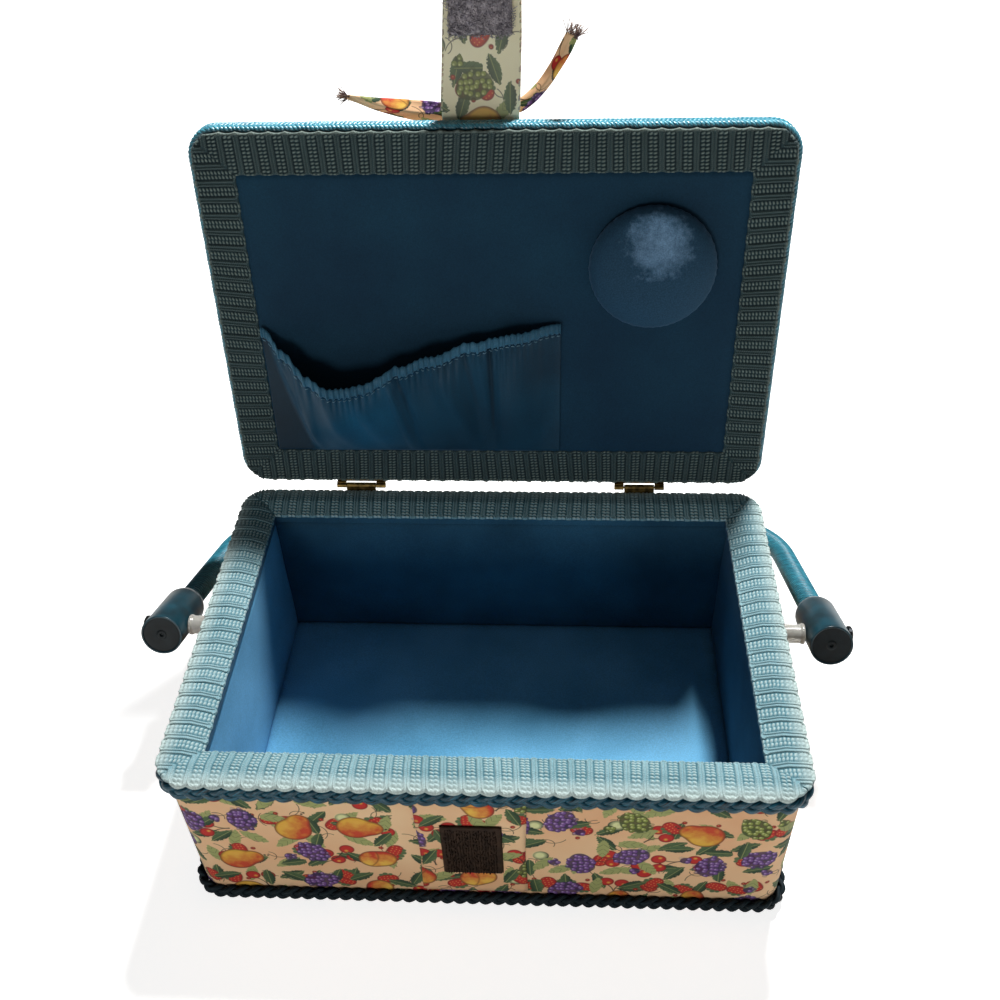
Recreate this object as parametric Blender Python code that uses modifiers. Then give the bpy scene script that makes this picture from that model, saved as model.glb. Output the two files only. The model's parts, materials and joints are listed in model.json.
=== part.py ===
# Sewing basket: a padded, fabric-covered box with a hinged lid, a wound swing handle and
# a strap that closes on a hook patch. Metres, +Z up, +X to the right, the front faces -Y.
# The origin is the centre of the underside. The lid stands open and the handle is folded back.
# Lid, strap and handle pieces are drawn with the lid closed and the handle upright, and
# hang on empties that lie on their hinge axes and turn them to the pose they rest in.

import math

import bmesh
import bpy
from mathutils import Matrix, Vector

MM = 0.001

# General fits
SEAT_GAP = 0.3 * MM
OVERRUN = 2.0 * MM
MERGE_DISTANCE = 0.01 * MM
ARC_STEPS = 6

# Box
RIM_WIDTH = 260.0 * MM
RIM_DEPTH = 176.0 * MM
RIM_HEIGHT = 92.0 * MM
CORNER_RADIUS = 10.0 * MM
SHEET_THICKNESS = 0.6 * MM
SHEET_INSET = 1.5 * MM
BASE_THICKNESS = 3.0 * MM
WALL_THICKNESS = 4.0 * MM
COVER_THICKNESS = 0.6 * MM
LINING_THICKNESS = 9.0 * MM
FLOOR_THICKNESS = 4.3 * MM
RAIL_THICKNESS = 6.0 * MM
COVER_DROP = 1.5 * MM

# Ribbed strips on the rim and on the lid
TRIM_OVERHANG = 2.0 * MM
TRIM_THICKNESS = 1.7 * MM
RIM_TRIM_WIDTH = 17.5 * MM
RIM_FLAT = 9.0 * MM
RIM_SLOPE = 3.0 * MM
LID_TRIM_WIDTH = 19.0 * MM
RAIL_SETBACK = 0.5 * MM

# Braided cords
CORD_HEIGHT = 8.5 * MM
CORD_THICKNESS = 3.6 * MM
CORD_DROP = 1.8 * MM
BASE_CORD_RISE = 3.0 * MM
LID_CORD_HEIGHT = 7.6 * MM
LID_CORD_LIFT = 3.4 * MM

# Printed centre bands and the hook patch
BAND_WIDTH = 45.0 * MM
BAND_OFFSET = 4.5 * MM
BAND_THICKNESS = 0.6 * MM
HOOK_WIDTH = 25.5 * MM
HOOK_HEIGHT = 36.0 * MM
HOOK_RISE = 28.0 * MM
HOOK_THICKNESS = 2.0 * MM
PATCH_CORNER = 1.2 * MM

# Lid
LID_GAP = 0.5 * MM
LID_OPEN_ANGLE = math.radians(97.8)
LID_BOARD_THICKNESS = 3.0 * MM
LID_EDGE_HEIGHT = 9.0 * MM
LID_CROWN = 11.0 * MM
LID_COVER_LIFT = 3.3 * MM
CROWN_POWER = 2.6
CROWN_STEPS_X = 12
CROWN_STEPS_Y = 9
LID_LINING_THICKNESS = 0.9 * MM

# Hinges
HINGE_SPACING = 142.0 * MM
HINGE_WIDTH = 25.0 * MM
KNUCKLE_WIDTH = 15.0 * MM
KNUCKLE_RADIUS = 1.4 * MM
KNUCKLE_BORE = 0.85 * MM
PIN_RADIUS = 0.5 * MM
LEAF_THICKNESS = 0.6 * MM
HINGE_BACKSET = 2.1 * MM
HINGE_RISE = 0.9 * MM

# Pocket on the lid lining
POCKET_WIDTH = 141.0 * MM
POCKET_DEPTH = 64.0 * MM
POCKET_BULGE = 17.0 * MM
POCKET_FOLD = 1.3 * MM
POCKET_CLOTH = 0.8 * MM
POCKET_FOLDS = 7
POCKET_SWELL = 0.8
ELASTIC_WIDTH = 5.0 * MM
ELASTIC_THICKNESS = 1.6 * MM

# Pincushion on the lid lining
CUSHION_RADIUS = 28.5 * MM
CUSHION_HEIGHT = 14.0 * MM
CUSHION_CARD = 1.0 * MM
CUSHION_SIDE_MARGIN = 11.5 * MM
CUSHION_FRONT_MARGIN = 12.5 * MM
CUSHION_SWELL = 0.8

# Handle
PIVOT_BACK = 10.0 * MM
PIVOT_DROP = 18.0 * MM
SPACER_LENGTH = 15.0 * MM
SPACER_RADIUS = 4.8 * MM
SCREW_RADIUS = 2.0 * MM
SCREW_HEAD_RADIUS = 4.0 * MM
SCREW_HEAD_HEIGHT = 2.0 * MM
SCREW_TAIL = 2.0 * MM
NUT_RADIUS = 4.0 * MM
NUT_THICKNESS = 3.6 * MM
NUT_FLANGE_RADIUS = 5.5 * MM
NUT_FLANGE = 0.8 * MM
HANDLE_REACH = 172.0 * MM
HANDLE_CORNER = 75.0 * MM
HANDLE_CORE_RADIUS = 3.5 * MM
WRAP_RADIUS = 6.1 * MM
WRAP_GROOVE = 0.8 * MM
WRAP_PITCH = 5.0 * MM
CAP_LENGTH = 37.0 * MM
CAP_NOSE = 12.0 * MM
CAP_RADIUS = 9.6 * MM
CAP_NECK_RADIUS = 7.6 * MM
CAP_EDGE = 1.0 * MM
CAP_DIMPLE_RADIUS = 1.6 * MM
CAP_DIMPLE_DEPTH = 0.8 * MM
CAP_BORE_START = 8.0 * MM
TABLE_GAP = 0.4 * MM

# Closure strap and bow
STRAP_WIDTH = 34.0 * MM
STRAP_LENGTH = 56.0 * MM
STRAP_THICKNESS = 1.2 * MM
STRAP_SETOFF = 5.0 * MM
STRAP_LIFT = 12.0 * MM
LOOP_WIDTH = 26.0 * MM
LOOP_LENGTH = 25.0 * MM
LOOP_THICKNESS = 2.2 * MM
LOOP_END_MARGIN = 1.2 * MM
KNOT_LENGTH = 15.0 * MM
KNOT_WIDTH = 11.0 * MM
KNOT_HEIGHT = 8.0 * MM
KNOT_REACH = 10.0 * MM
TAIL_CLOTH = 1.6 * MM
LEFT_TAIL_LENGTH = 50.0 * MM
RIGHT_TAIL_LENGTH = 37.0 * MM
TAIL_WIDTH = 8.0 * MM


# Sizes that follow from the ones above

half_width = RIM_WIDTH / 2
half_depth = RIM_DEPTH / 2
cover_x = half_width - TRIM_OVERHANG
cover_y = half_depth - TRIM_OVERHANG
board_inset = COVER_THICKNESS + SEAT_GAP
board_x = cover_x - board_inset
board_y = cover_y - board_inset
board_radius = CORNER_RADIUS - board_inset
wall_inner_x = board_x - WALL_THICKNESS
wall_inner_y = board_y - WALL_THICKNESS
lining_x = wall_inner_x - SEAT_GAP
lining_y = wall_inner_y - SEAT_GAP
room_x = lining_x - LINING_THICKNESS
room_y = lining_y - LINING_THICKNESS
base_low = SHEET_THICKNESS + SEAT_GAP
base_high = base_low + BASE_THICKNESS
wall_low = base_high + SEAT_GAP
rail_high = RIM_HEIGHT - TRIM_THICKNESS - SEAT_GAP
rail_low = rail_high - RAIL_THICKNESS
wall_high = rail_low - SEAT_GAP
cover_high = rail_high - COVER_DROP
cord_centre = cover_high - CORD_DROP + COVER_DROP - CORD_HEIGHT / 2
base_cord_centre = BASE_CORD_RISE + CORD_HEIGHT / 2

lid_low = RIM_HEIGHT + LID_GAP
lid_board_low = lid_low + TRIM_THICKNESS + SEAT_GAP
lid_board_high = lid_board_low + LID_BOARD_THICKNESS
lid_pad_low = lid_board_high + SEAT_GAP
lid_edge_high = lid_low + LID_EDGE_HEIGHT
lid_cover_low = lid_low + LID_COVER_LIFT
lid_cord_centre = lid_low + LID_CORD_LIFT + LID_CORD_HEIGHT / 2
lid_lining_low = lid_board_low - SEAT_GAP - LID_LINING_THICKNESS
lid_axis = Vector((0, half_depth + HINGE_BACKSET, RIM_HEIGHT + HINGE_RISE))

strap_axis = Vector((0, -half_depth - STRAP_SETOFF, lid_low + STRAP_LIFT))

pivot_rise = RIM_HEIGHT - PIVOT_DROP
handle_side = cover_x + SEAT_GAP + SPACER_LENGTH + SEAT_GAP + CAP_RADIUS
handle_axis = Vector((0, PIVOT_BACK, pivot_rise))
handle_drop = math.asin((pivot_rise - WRAP_RADIUS - TABLE_GAP) / HANDLE_REACH)
screw_bore = SCREW_RADIUS + SEAT_GAP


# Scene, collections and materials

for old in list(bpy.data.objects):
    bpy.data.objects.remove(old)

parts = bpy.data.collections.new("sewing_basket")
tools = bpy.data.collections.new("cutters_and_guides")
bpy.context.scene.collection.children.link(parts)
bpy.context.scene.collection.children.link(tools)


def material(name, red, green, blue, roughness, metallic=0.0):
    made = bpy.data.materials.new(name)
    made.use_nodes = True
    shader = made.node_tree.nodes["Principled BSDF"]
    shader.inputs["Base Color"].default_value = (red, green, blue, 1)
    shader.inputs["Roughness"].default_value = roughness
    shader.inputs["Metallic"].default_value = metallic
    return made


print_cloth = material("printed_cotton", 0.70, 0.45, 0.26, 0.85)
gimp = material("gimp_braid", 0.20, 0.34, 0.35, 0.70)
satin_cord = material("satin_cord", 0.02, 0.22, 0.30, 0.35)
dark_cord = material("dark_base_cord", 0.01, 0.02, 0.03, 0.55)
lining_cloth = material("lining_cloth", 0.02, 0.10, 0.19, 0.75)
board = material("hardboard", 0.25, 0.16, 0.09, 0.85)
foam = material("foam", 0.75, 0.72, 0.60, 0.95)
paper = material("backing_paper", 0.02, 0.02, 0.03, 0.90)
hook_tape = material("hook_tape", 0.03, 0.02, 0.015, 0.90)
loop_tape = material("loop_tape", 0.09, 0.08, 0.085, 0.95)
brass = material("brass", 0.60, 0.42, 0.15, 0.35, 1.0)
steel = material("plated_steel", 0.55, 0.56, 0.58, 0.35, 1.0)
clear_plastic = material("clear_plastic", 0.75, 0.78, 0.76, 0.20)
cap_plastic = material("teal_plastic", 0.01, 0.07, 0.09, 0.35)
core_plastic = material("core_plastic", 0.20, 0.19, 0.17, 0.60)
velvet = material("velvet", 0.03, 0.09, 0.16, 0.90)


# Helpers

def axis_empty(name, place, parent=None):
    made = bpy.data.objects.new(name, None)
    made.location = place
    parts.objects.link(made)
    if parent:
        made.parent = parent
        made.matrix_parent_inverse = Matrix.Translation(-parent.location)
    return made


lid_empty = axis_empty("lid_axis", lid_axis)
strap_empty = axis_empty("strap_axis", strap_axis, lid_empty)
handle_empty = axis_empty("handle_axis", handle_axis)


def place_piece(name, mesh, finish, parent=None, place=(0, 0, 0), turn=(0, 0, 0), smooth=False):
    piece = bpy.data.objects.new(name, mesh)
    piece.location = place
    piece.rotation_euler = turn
    piece.data.materials.append(finish)
    parts.objects.link(piece)
    if parent:
        piece.parent = parent
        piece.matrix_parent_inverse = Matrix.Translation(-parent.location)
    if smooth:
        mesh.shade_smooth()
        mesh.set_sharp_from_angle(angle=math.radians(40))
    return piece


def mesh_from_curve(name, curve):
    # The curve is turned into a mesh with its caps welded
    holder = bpy.data.objects.new(name, curve)
    tools.objects.link(holder)
    graph = bpy.context.evaluated_depsgraph_get()
    mesh = bpy.data.meshes.new_from_object(holder.evaluated_get(graph))
    mesh.name = name
    shape = bmesh.new()
    shape.from_mesh(mesh)
    bmesh.ops.remove_doubles(shape, verts=shape.verts, dist=MERGE_DISTANCE)
    bmesh.ops.recalc_face_normals(shape, faces=shape.faces)
    shape.to_mesh(mesh)
    shape.free()
    bpy.data.objects.remove(holder)
    return mesh


def plate(name, loops, thickness):
    # A flat outline, with any holes as further loops, made into a plate centred on z = 0
    curve = bpy.data.curves.new(name, "CURVE")
    curve.dimensions = "2D"
    curve.fill_mode = "BOTH"
    curve.extrude = thickness / 2
    for loop in loops:
        spline = curve.splines.new("POLY")
        spline.points.add(len(loop) - 1)
        for point, (x, y) in zip(spline.points, loop):
            point.co = (x, y, 0, 1)
        spline.use_cyclic_u = True
    return mesh_from_curve(name, curve)


def tube(name, points, radii, resolution, cyclic=False, profile=None):
    curve = bpy.data.curves.new(name, "CURVE")
    curve.dimensions = "3D"
    curve.use_fill_caps = not cyclic
    if profile:
        curve.bevel_mode = "OBJECT"
        curve.bevel_object = profile
    else:
        curve.bevel_depth = 1.0
        curve.bevel_resolution = resolution
    spline = curve.splines.new("POLY")
    spline.points.add(len(points) - 1)
    for point, place, radius in zip(spline.points, points, radii):
        point.co = (*place, 1)
        point.radius = radius
    spline.use_cyclic_u = cyclic
    return mesh_from_curve(name, curve)


def turned(name, profile, steps=24):
    # A profile of (radius, height) points, top to bottom, turned about Z
    mesh = bpy.data.meshes.new(name)
    shape = bmesh.new()
    points = [shape.verts.new((radius, 0, height)) for radius, height in profile]
    for first, second in zip(points, points[1:]):
        shape.edges.new((first, second))
    shape.to_mesh(mesh)
    shape.free()
    holder = bpy.data.objects.new(name, mesh)
    tools.objects.link(holder)
    screw = holder.modifiers.new("turn", "SCREW")
    screw.steps = steps
    screw.render_steps = steps
    screw.use_merge_vertices = True
    screw.merge_threshold = MERGE_DISTANCE
    graph = bpy.context.evaluated_depsgraph_get()
    result = bpy.data.meshes.new_from_object(holder.evaluated_get(graph))
    result.name = name
    bpy.data.objects.remove(holder)
    return result


def ring_profile(outer, inner, high, low):
    # Profile of a ring, closed on itself
    return [(inner, high), (outer, high), (outer, low), (inner, low), (inner, high)]


def rod(name, radius, length, sides=16):
    mesh = bpy.data.meshes.new(name)
    shape = bmesh.new()
    bmesh.ops.create_cone(
        shape, cap_ends=True, segments=sides, radius1=radius, radius2=radius, depth=length)
    shape.to_mesh(mesh)
    shape.free()
    return mesh


def block(name, size, centre=(0, 0, 0)):
    mesh = bpy.data.meshes.new(name)
    shape = bmesh.new()
    bmesh.ops.create_cube(shape, size=1.0)
    bmesh.ops.scale(shape, vec=size, verts=shape.verts)
    bmesh.ops.translate(shape, vec=centre, verts=shape.verts)
    shape.to_mesh(mesh)
    shape.free()
    return mesh


def moved(mesh, matrix):
    mesh.transform(matrix)
    return mesh


def along_x(mesh, x, y, z):
    # A mesh drawn along Z, laid along X and moved to its place
    return moved(mesh, Matrix.Translation((x, y, z)) @ Matrix.Rotation(math.pi / 2, 4, "Y"))


def cutter(name, mesh):
    made = bpy.data.objects.new(name, mesh)
    made.hide_render = True
    made.display_type = "WIRE"
    tools.objects.link(made)
    return made


def hang_cutter(name, mesh, parent, place=(0, 0, 0)):
    # A cutter that turns with the piece that it cuts or joins
    made = cutter(name, mesh)
    made.location = place
    if parent:
        made.parent = parent
        made.matrix_parent_inverse = Matrix.Translation(-parent.location)
    return made


def combine(piece, other, operation, name):
    step = piece.modifiers.new(name, "BOOLEAN")
    step.operation = operation
    step.solver = "EXACT"
    step.object = other
    return step


def thicken(piece, thickness, offset):
    step = piece.modifiers.new("cloth", "SOLIDIFY")
    step.thickness = thickness
    step.offset = offset
    step.use_even_offset = True
    return step


def soften(piece, width, segments=2):
    step = piece.modifiers.new("edge", "BEVEL")
    step.width = width
    step.segments = segments
    step.limit_method = "ANGLE"
    step.angle_limit = math.radians(50)
    return step


def corner_arc(centre_x, centre_y, radius, start, end, steps):
    points = []
    for step in range(steps + 1):
        angle = start + (end - start) * step / steps
        points.append((centre_x + radius * math.cos(angle), centre_y + radius * math.sin(angle)))
    return points


def rounded_loop(half_x, half_y, radius, steps=ARC_STEPS):
    quarter = math.pi / 2
    in_x = half_x - radius
    in_y = half_y - radius
    loop = corner_arc(in_x, in_y, radius, 0, quarter, steps)
    loop += corner_arc(-in_x, in_y, radius, quarter, 2 * quarter, steps)
    loop += corner_arc(-in_x, -in_y, radius, 2 * quarter, 3 * quarter, steps)
    loop += corner_arc(in_x, -in_y, radius, 3 * quarter, 4 * quarter, steps)
    return loop


def side_loop(outer, inner, outer_radius, inner_radius):
    # One side of a mitred frame, drawn as the front side: outer and inner are (half length,
    # half depth) of the frame. Its ends stop short of the mitre, so neighbours stay apart.
    steps = ARC_STEPS // 2
    eighth = math.pi / 4
    down = -math.pi / 2
    right = corner_arc(
        outer[0] - outer_radius, -outer[1] + outer_radius, outer_radius, down, down + eighth, steps)
    if inner_radius > 0:
        back = corner_arc(
            inner[0] - inner_radius, -inner[1] + inner_radius, inner_radius, down, down + eighth,
            steps)
    else:
        back = [(inner[0], -inner[1])]
    short = SEAT_GAP
    right[-1] = (right[-1][0] - short, right[-1][1])
    back[-1] = (back[-1][0] - short, back[-1][1])
    half = right + back[::-1]
    other = [(-x, y) for x, y in half[::-1]]
    return half + other


def side_names(stem):
    return [stem + "_front", stem + "_right", stem + "_back", stem + "_left"]


def frame_sides(stem, outer, inner, outer_radius, inner_radius, low, high, finish, parent=None):
    # The four mitred sides of a rectangular frame: front, right, back and left
    pieces = {}
    for index, name in enumerate(side_names(stem)):
        long_way = index % 2 == 0
        out = outer if long_way else outer[::-1]
        into = inner if long_way else inner[::-1]
        mesh = plate(name, [side_loop(out, into, outer_radius, inner_radius)], high - low)
        spin = Matrix.Rotation(index * math.pi / 2, 4, "Z")
        moved(mesh, spin)
        pieces[name] = place_piece(
            name, mesh, finish, parent, place=(0, 0, (low + high) / 2))
    return pieces


def dip_inner_edge(piece, both_faces):
    # The rim slopes down towards the inside, past its flat outer part
    mesh = piece.data
    shape = bmesh.new()
    shape.from_mesh(mesh)
    sides = (Vector((0, -1, 0)), Vector((1, 0, 0)), Vector((0, 1, 0)), Vector((-1, 0, 0)))
    middle = sum((vert.co for vert in shape.verts), Vector()) / len(shape.verts)
    outward = max(sides, key=lambda way: way.dot(middle))
    reach = half_depth if abs(outward.y) > 0 else half_width
    line = outward * (reach - RIM_FLAT)
    geometry = list(shape.verts) + list(shape.edges) + list(shape.faces)
    bmesh.ops.bisect_plane(shape, geom=geometry, plane_co=line, plane_no=outward)
    for vert in shape.verts:
        inset = reach - outward.dot(vert.co)
        share = max(0.0, inset - RIM_FLAT) / (RIM_TRIM_WIDTH - RIM_FLAT)
        if both_faces or vert.co.z > 0:
            vert.co.z -= RIM_SLOPE * share
    shape.to_mesh(mesh)
    shape.free()


# Box

def build_base():
    sheet = plate("base_sheet", [rounded_loop(
        cover_x - SHEET_INSET, cover_y - SHEET_INSET, CORNER_RADIUS)], SHEET_THICKNESS)
    place_piece("base_sheet", sheet, paper, place=(0, 0, SHEET_THICKNESS / 2))
    bottom = plate("base_board", [rounded_loop(board_x, board_y, board_radius)], BASE_THICKNESS)
    place_piece("base_board", bottom, board, place=(0, 0, base_low + BASE_THICKNESS / 2))
    floor = plate("floor_pad", [rounded_loop(
        room_x - SEAT_GAP, room_y - SEAT_GAP, COVER_THICKNESS, 1)], FLOOR_THICKNESS)
    piece = place_piece(
        "floor_pad", floor, lining_cloth, place=(0, 0, wall_low + FLOOR_THICKNESS / 2))
    soften(piece, COVER_THICKNESS)


def screw_hole(name, radius, length, side, middle):
    hole = rod(name, radius, length)
    return cutter(name, along_x(hole, side * middle, PIVOT_BACK, pivot_rise))


def build_walls():
    boards = frame_sides(
        "wall_board", (board_x, board_y), (wall_inner_x, wall_inner_y),
        board_radius, board_radius - WALL_THICKNESS, wall_low, wall_high, board)
    linings = frame_sides(
        "wall_lining", (lining_x, lining_y), (room_x, room_y),
        board_radius - WALL_THICKNESS - SEAT_GAP, 0, wall_low, wall_high, lining_cloth)
    rail_x = half_width - RIM_TRIM_WIDTH + RAIL_SETBACK
    rail_y = half_depth - RIM_TRIM_WIDTH + RAIL_SETBACK
    rails = frame_sides(
        "rim_rail", (board_x, board_y), (rail_x, rail_y), board_radius, 0,
        rail_low, rail_high, board)
    for rail in rails.values():
        dip_inner_edge(rail, both_faces=False)
    for side, name in ((1, "right"), (-1, "left")):
        hole = screw_hole("board_hole_" + name, screw_bore, 2 * WALL_THICKNESS, side,
                          board_x - WALL_THICKNESS / 2)
        combine(boards["wall_board_" + name], hole, "DIFFERENCE", "screw hole")
        depth = NUT_THICKNESS + SCREW_TAIL + 2 * SEAT_GAP
        pocket = screw_hole("nut_hole_" + name, NUT_FLANGE_RADIUS + SEAT_GAP, 2 * depth, side,
                            lining_x)
        combine(linings["wall_lining_" + name], pocket, "DIFFERENCE", "nut recess")
    recess_depth = 2 * SEAT_GAP + LEAF_THICKNESS
    for side, name in ((1, "right"), (-1, "left")):
        recess = block(
            "rail_recess_" + name,
            (HINGE_WIDTH + 2 * SEAT_GAP, 2 * RIM_FLAT, 2 * recess_depth),
            (side * HINGE_SPACING / 2, half_depth + SEAT_GAP, rail_high))
        combine(rails["rim_rail_back"], cutter("rail_recess_" + name, recess), "DIFFERENCE",
                "hinge recess " + name)


def build_cover():
    height = cover_high - base_low
    loop = rounded_loop(cover_x, cover_y, CORNER_RADIUS)
    mesh = bpy.data.meshes.new("box_cover")
    shape = bmesh.new()
    ring = [shape.verts.new((x, y, -height / 2)) for x, y in loop]
    edges = [shape.edges.new((a, b)) for a, b in zip(ring, ring[1:] + ring[:1])]
    grown = bmesh.ops.extrude_edge_only(shape, edges=edges)
    risen = [item for item in grown["geom"] if isinstance(item, bmesh.types.BMVert)]
    bmesh.ops.translate(shape, vec=(0, 0, height), verts=risen)
    bmesh.ops.remove_doubles(shape, verts=shape.verts, dist=MERGE_DISTANCE)
    bmesh.ops.recalc_face_normals(shape, faces=shape.faces)
    shape.to_mesh(mesh)
    shape.free()
    piece = place_piece(
        "box_cover", mesh, print_cloth, place=(0, 0, base_low + height / 2))
    thicken(piece, COVER_THICKNESS, -1)
    for side, name in ((1, "right"), (-1, "left")):
        hole = screw_hole("cover_hole_" + name, screw_bore, 2 * OVERRUN, side, cover_x)
        combine(piece, hole, "DIFFERENCE", "screw hole " + name)


def cord_ring(name, height, centre, finish, parent=None):
    # A braided cord of oval section that runs round the covered wall
    guide = bpy.data.curves.new(name + "_section", "CURVE")
    guide.dimensions = "2D"
    oval = guide.splines.new("POLY")
    count = 8
    oval.points.add(count - 1)
    for index, point in enumerate(oval.points):
        angle = 2 * math.pi * (index + 0.5) / count
        point.co = (CORD_THICKNESS / 2 * math.cos(angle), height / 2 * math.sin(angle), 0, 1)
    oval.use_cyclic_u = True
    section = cutter(name + "_section", guide)
    out = SEAT_GAP + CORD_THICKNESS / 2
    loop = rounded_loop(cover_x + out, cover_y + out, CORNER_RADIUS + out)
    points = [(x, y, 0) for x, y in loop]
    mesh = tube(name, points, [1.0] * len(points), 0, cyclic=True, profile=section)
    return place_piece(name, mesh, finish, parent, place=(0, 0, centre), smooth=True)


def build_front():
    band_low = BASE_CORD_RISE + CORD_HEIGHT + SEAT_GAP
    band_high = cord_centre - CORD_HEIGHT / 2 - SEAT_GAP
    band = block("front_band", (BAND_WIDTH, BAND_THICKNESS, band_high - band_low))
    band_y = -cover_y - SEAT_GAP - BAND_THICKNESS / 2
    place_piece("front_band", band, print_cloth,
                place=(-BAND_OFFSET, band_y, (band_low + band_high) / 2))
    patch = plate("hook_patch", [rounded_loop(
        HOOK_WIDTH / 2, HOOK_HEIGHT / 2, PATCH_CORNER, 2)], HOOK_THICKNESS)
    patch_y = band_y - BAND_THICKNESS / 2 - SEAT_GAP - HOOK_THICKNESS / 2
    place_piece("hook_patch", patch, hook_tape,
                place=(-BAND_OFFSET, patch_y, HOOK_RISE + HOOK_HEIGHT / 2),
                turn=(math.pi / 2, 0, 0))


def build_rim():
    trims = frame_sides(
        "rim_trim", (half_width, half_depth),
        (half_width - RIM_TRIM_WIDTH, half_depth - RIM_TRIM_WIDTH),
        CORNER_RADIUS + TRIM_OVERHANG, 0, RIM_HEIGHT - TRIM_THICKNESS, RIM_HEIGHT, gimp)
    for trim in trims.values():
        dip_inner_edge(trim, both_faces=True)
    cord_ring("rim_cord", CORD_HEIGHT, cord_centre, satin_cord)
    cord_ring("base_cord", CORD_HEIGHT, base_cord_centre, dark_cord)


# Lid, drawn closed

# Where the grid lines of the lid turn its corners: shares of the corner radius
corner_line_shares = (0.0, 0.22, 0.58)


def edge_lines(half, radius, count):
    # Grid lines across the lid, closer together where the corners turn
    inner = half - radius
    turn = [half - radius * share for share in corner_line_shares]
    across = [-inner + 2 * inner * step / count for step in range(count + 1)]
    return [-line for line in turn] + across + turn[::-1]


def crown_height(share_x, share_y):
    across = math.sqrt(max(0.0, 1 - abs(share_x) ** CROWN_POWER))
    along = math.sqrt(max(0.0, 1 - abs(share_y) ** CROWN_POWER))
    return across * along


def dome(name, half_x, half_y, radius, low, lift, closed):
    # The padded top of the lid: a grid bent to rounded corners and a crown, with a skirt
    lines_x = edge_lines(half_x, radius, CROWN_STEPS_X)
    lines_y = edge_lines(half_y, radius, CROWN_STEPS_Y)
    mesh = bpy.data.meshes.new(name)
    shape = bmesh.new()
    bmesh.ops.create_grid(
        shape, x_segments=len(lines_x) - 1, y_segments=len(lines_y) - 1, size=1.0)
    for vert in shape.verts:
        column = round((vert.co.x + 1) / 2 * (len(lines_x) - 1))
        row = round((vert.co.y + 1) / 2 * (len(lines_y) - 1))
        x = lines_x[column]
        y = lines_y[row]
        rise = crown_height(x / half_x, y / half_y)
        over_x = abs(x) - (half_x - radius)
        over_y = abs(y) - (half_y - radius)
        if over_x > 0 and over_y > 0:
            pull = max(over_x, over_y) / math.hypot(over_x, over_y)
            x = math.copysign(half_x - radius + over_x * pull, x)
            y = math.copysign(half_y - radius + over_y * pull, y)
        vert.co = (x, y, lid_edge_high + lift + LID_CROWN * rise)
    rim = [edge for edge in shape.edges if edge.is_boundary]
    grown = bmesh.ops.extrude_edge_only(shape, edges=rim)
    fallen = [item for item in grown["geom"] if isinstance(item, bmesh.types.BMVert)]
    for vert in fallen:
        vert.co.z = low
    if closed:
        bottom = [edge for edge in shape.edges if edge.is_boundary]
        bmesh.ops.contextual_create(shape, geom=bottom)
    bmesh.ops.recalc_face_normals(shape, faces=shape.faces)
    if not closed and sum(face.normal.z for face in shape.faces) < 0:
        bmesh.ops.reverse_faces(shape, faces=shape.faces)
    shape.to_mesh(mesh)
    shape.free()
    return mesh


def ribbon(name, path, widths, centre):
    # A strip along Y round an x centre: path holds (y, z) points, widths a width for each
    mesh = bpy.data.meshes.new(name)
    shape = bmesh.new()
    last = len(path) - 1
    bmesh.ops.create_grid(shape, x_segments=1, y_segments=last, size=1.0)
    for vert in shape.verts:
        row = round((vert.co.y + 1) / 2 * last)
        side = math.copysign(0.5, vert.co.x)
        y, z = path[row]
        vert.co = (centre + side * widths[row], y, z)
    shape.to_mesh(mesh)
    shape.free()
    return mesh


def build_lid():
    bottom = plate("lid_board", [rounded_loop(board_x, board_y, board_radius)],
                   LID_BOARD_THICKNESS)
    lid = place_piece("lid_board", bottom, board, lid_empty,
                      place=(0, 0, lid_board_low + LID_BOARD_THICKNESS / 2))
    recess_depth = 2 * SEAT_GAP + LEAF_THICKNESS
    for side, name in ((1, "right"), (-1, "left")):
        recess = block(
            "lid_recess_" + name,
            (HINGE_WIDTH + 2 * SEAT_GAP, 2 * RIM_FLAT, 2 * recess_depth),
            (side * HINGE_SPACING / 2, half_depth + SEAT_GAP, lid_board_low))
        made = hang_cutter("lid_recess_" + name, recess, lid_empty)
        combine(lid, made, "DIFFERENCE", "hinge recess " + name)
    pad = dome("lid_pad", board_x, board_y, board_radius, lid_pad_low, 0, closed=True)
    place_piece("lid_pad", pad, foam, lid_empty)
    lift = SEAT_GAP + COVER_THICKNESS
    skin = dome("lid_cover", cover_x, cover_y, CORNER_RADIUS, lid_cover_low, lift, closed=False)
    cover = place_piece("lid_cover", skin, print_cloth, lid_empty)
    thicken(cover, COVER_THICKNESS, -1)
    cord_ring("lid_cord", LID_CORD_HEIGHT, lid_cord_centre, satin_cord, lid_empty)
    frame_sides(
        "lid_trim", (half_width, half_depth),
        (half_width - LID_TRIM_WIDTH, half_depth - LID_TRIM_WIDTH),
        CORNER_RADIUS + TRIM_OVERHANG, 0, lid_low, lid_low + TRIM_THICKNESS, gimp, lid_empty)
    lining = plate("lid_lining", [rounded_loop(
        half_width - LID_TRIM_WIDTH - SEAT_GAP, half_depth - LID_TRIM_WIDTH - SEAT_GAP,
        COVER_THICKNESS, 1)], LID_LINING_THICKNESS)
    place_piece("lid_lining", lining, lining_cloth, lid_empty,
                place=(0, 0, lid_lining_low + LID_LINING_THICKNESS / 2))


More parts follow.
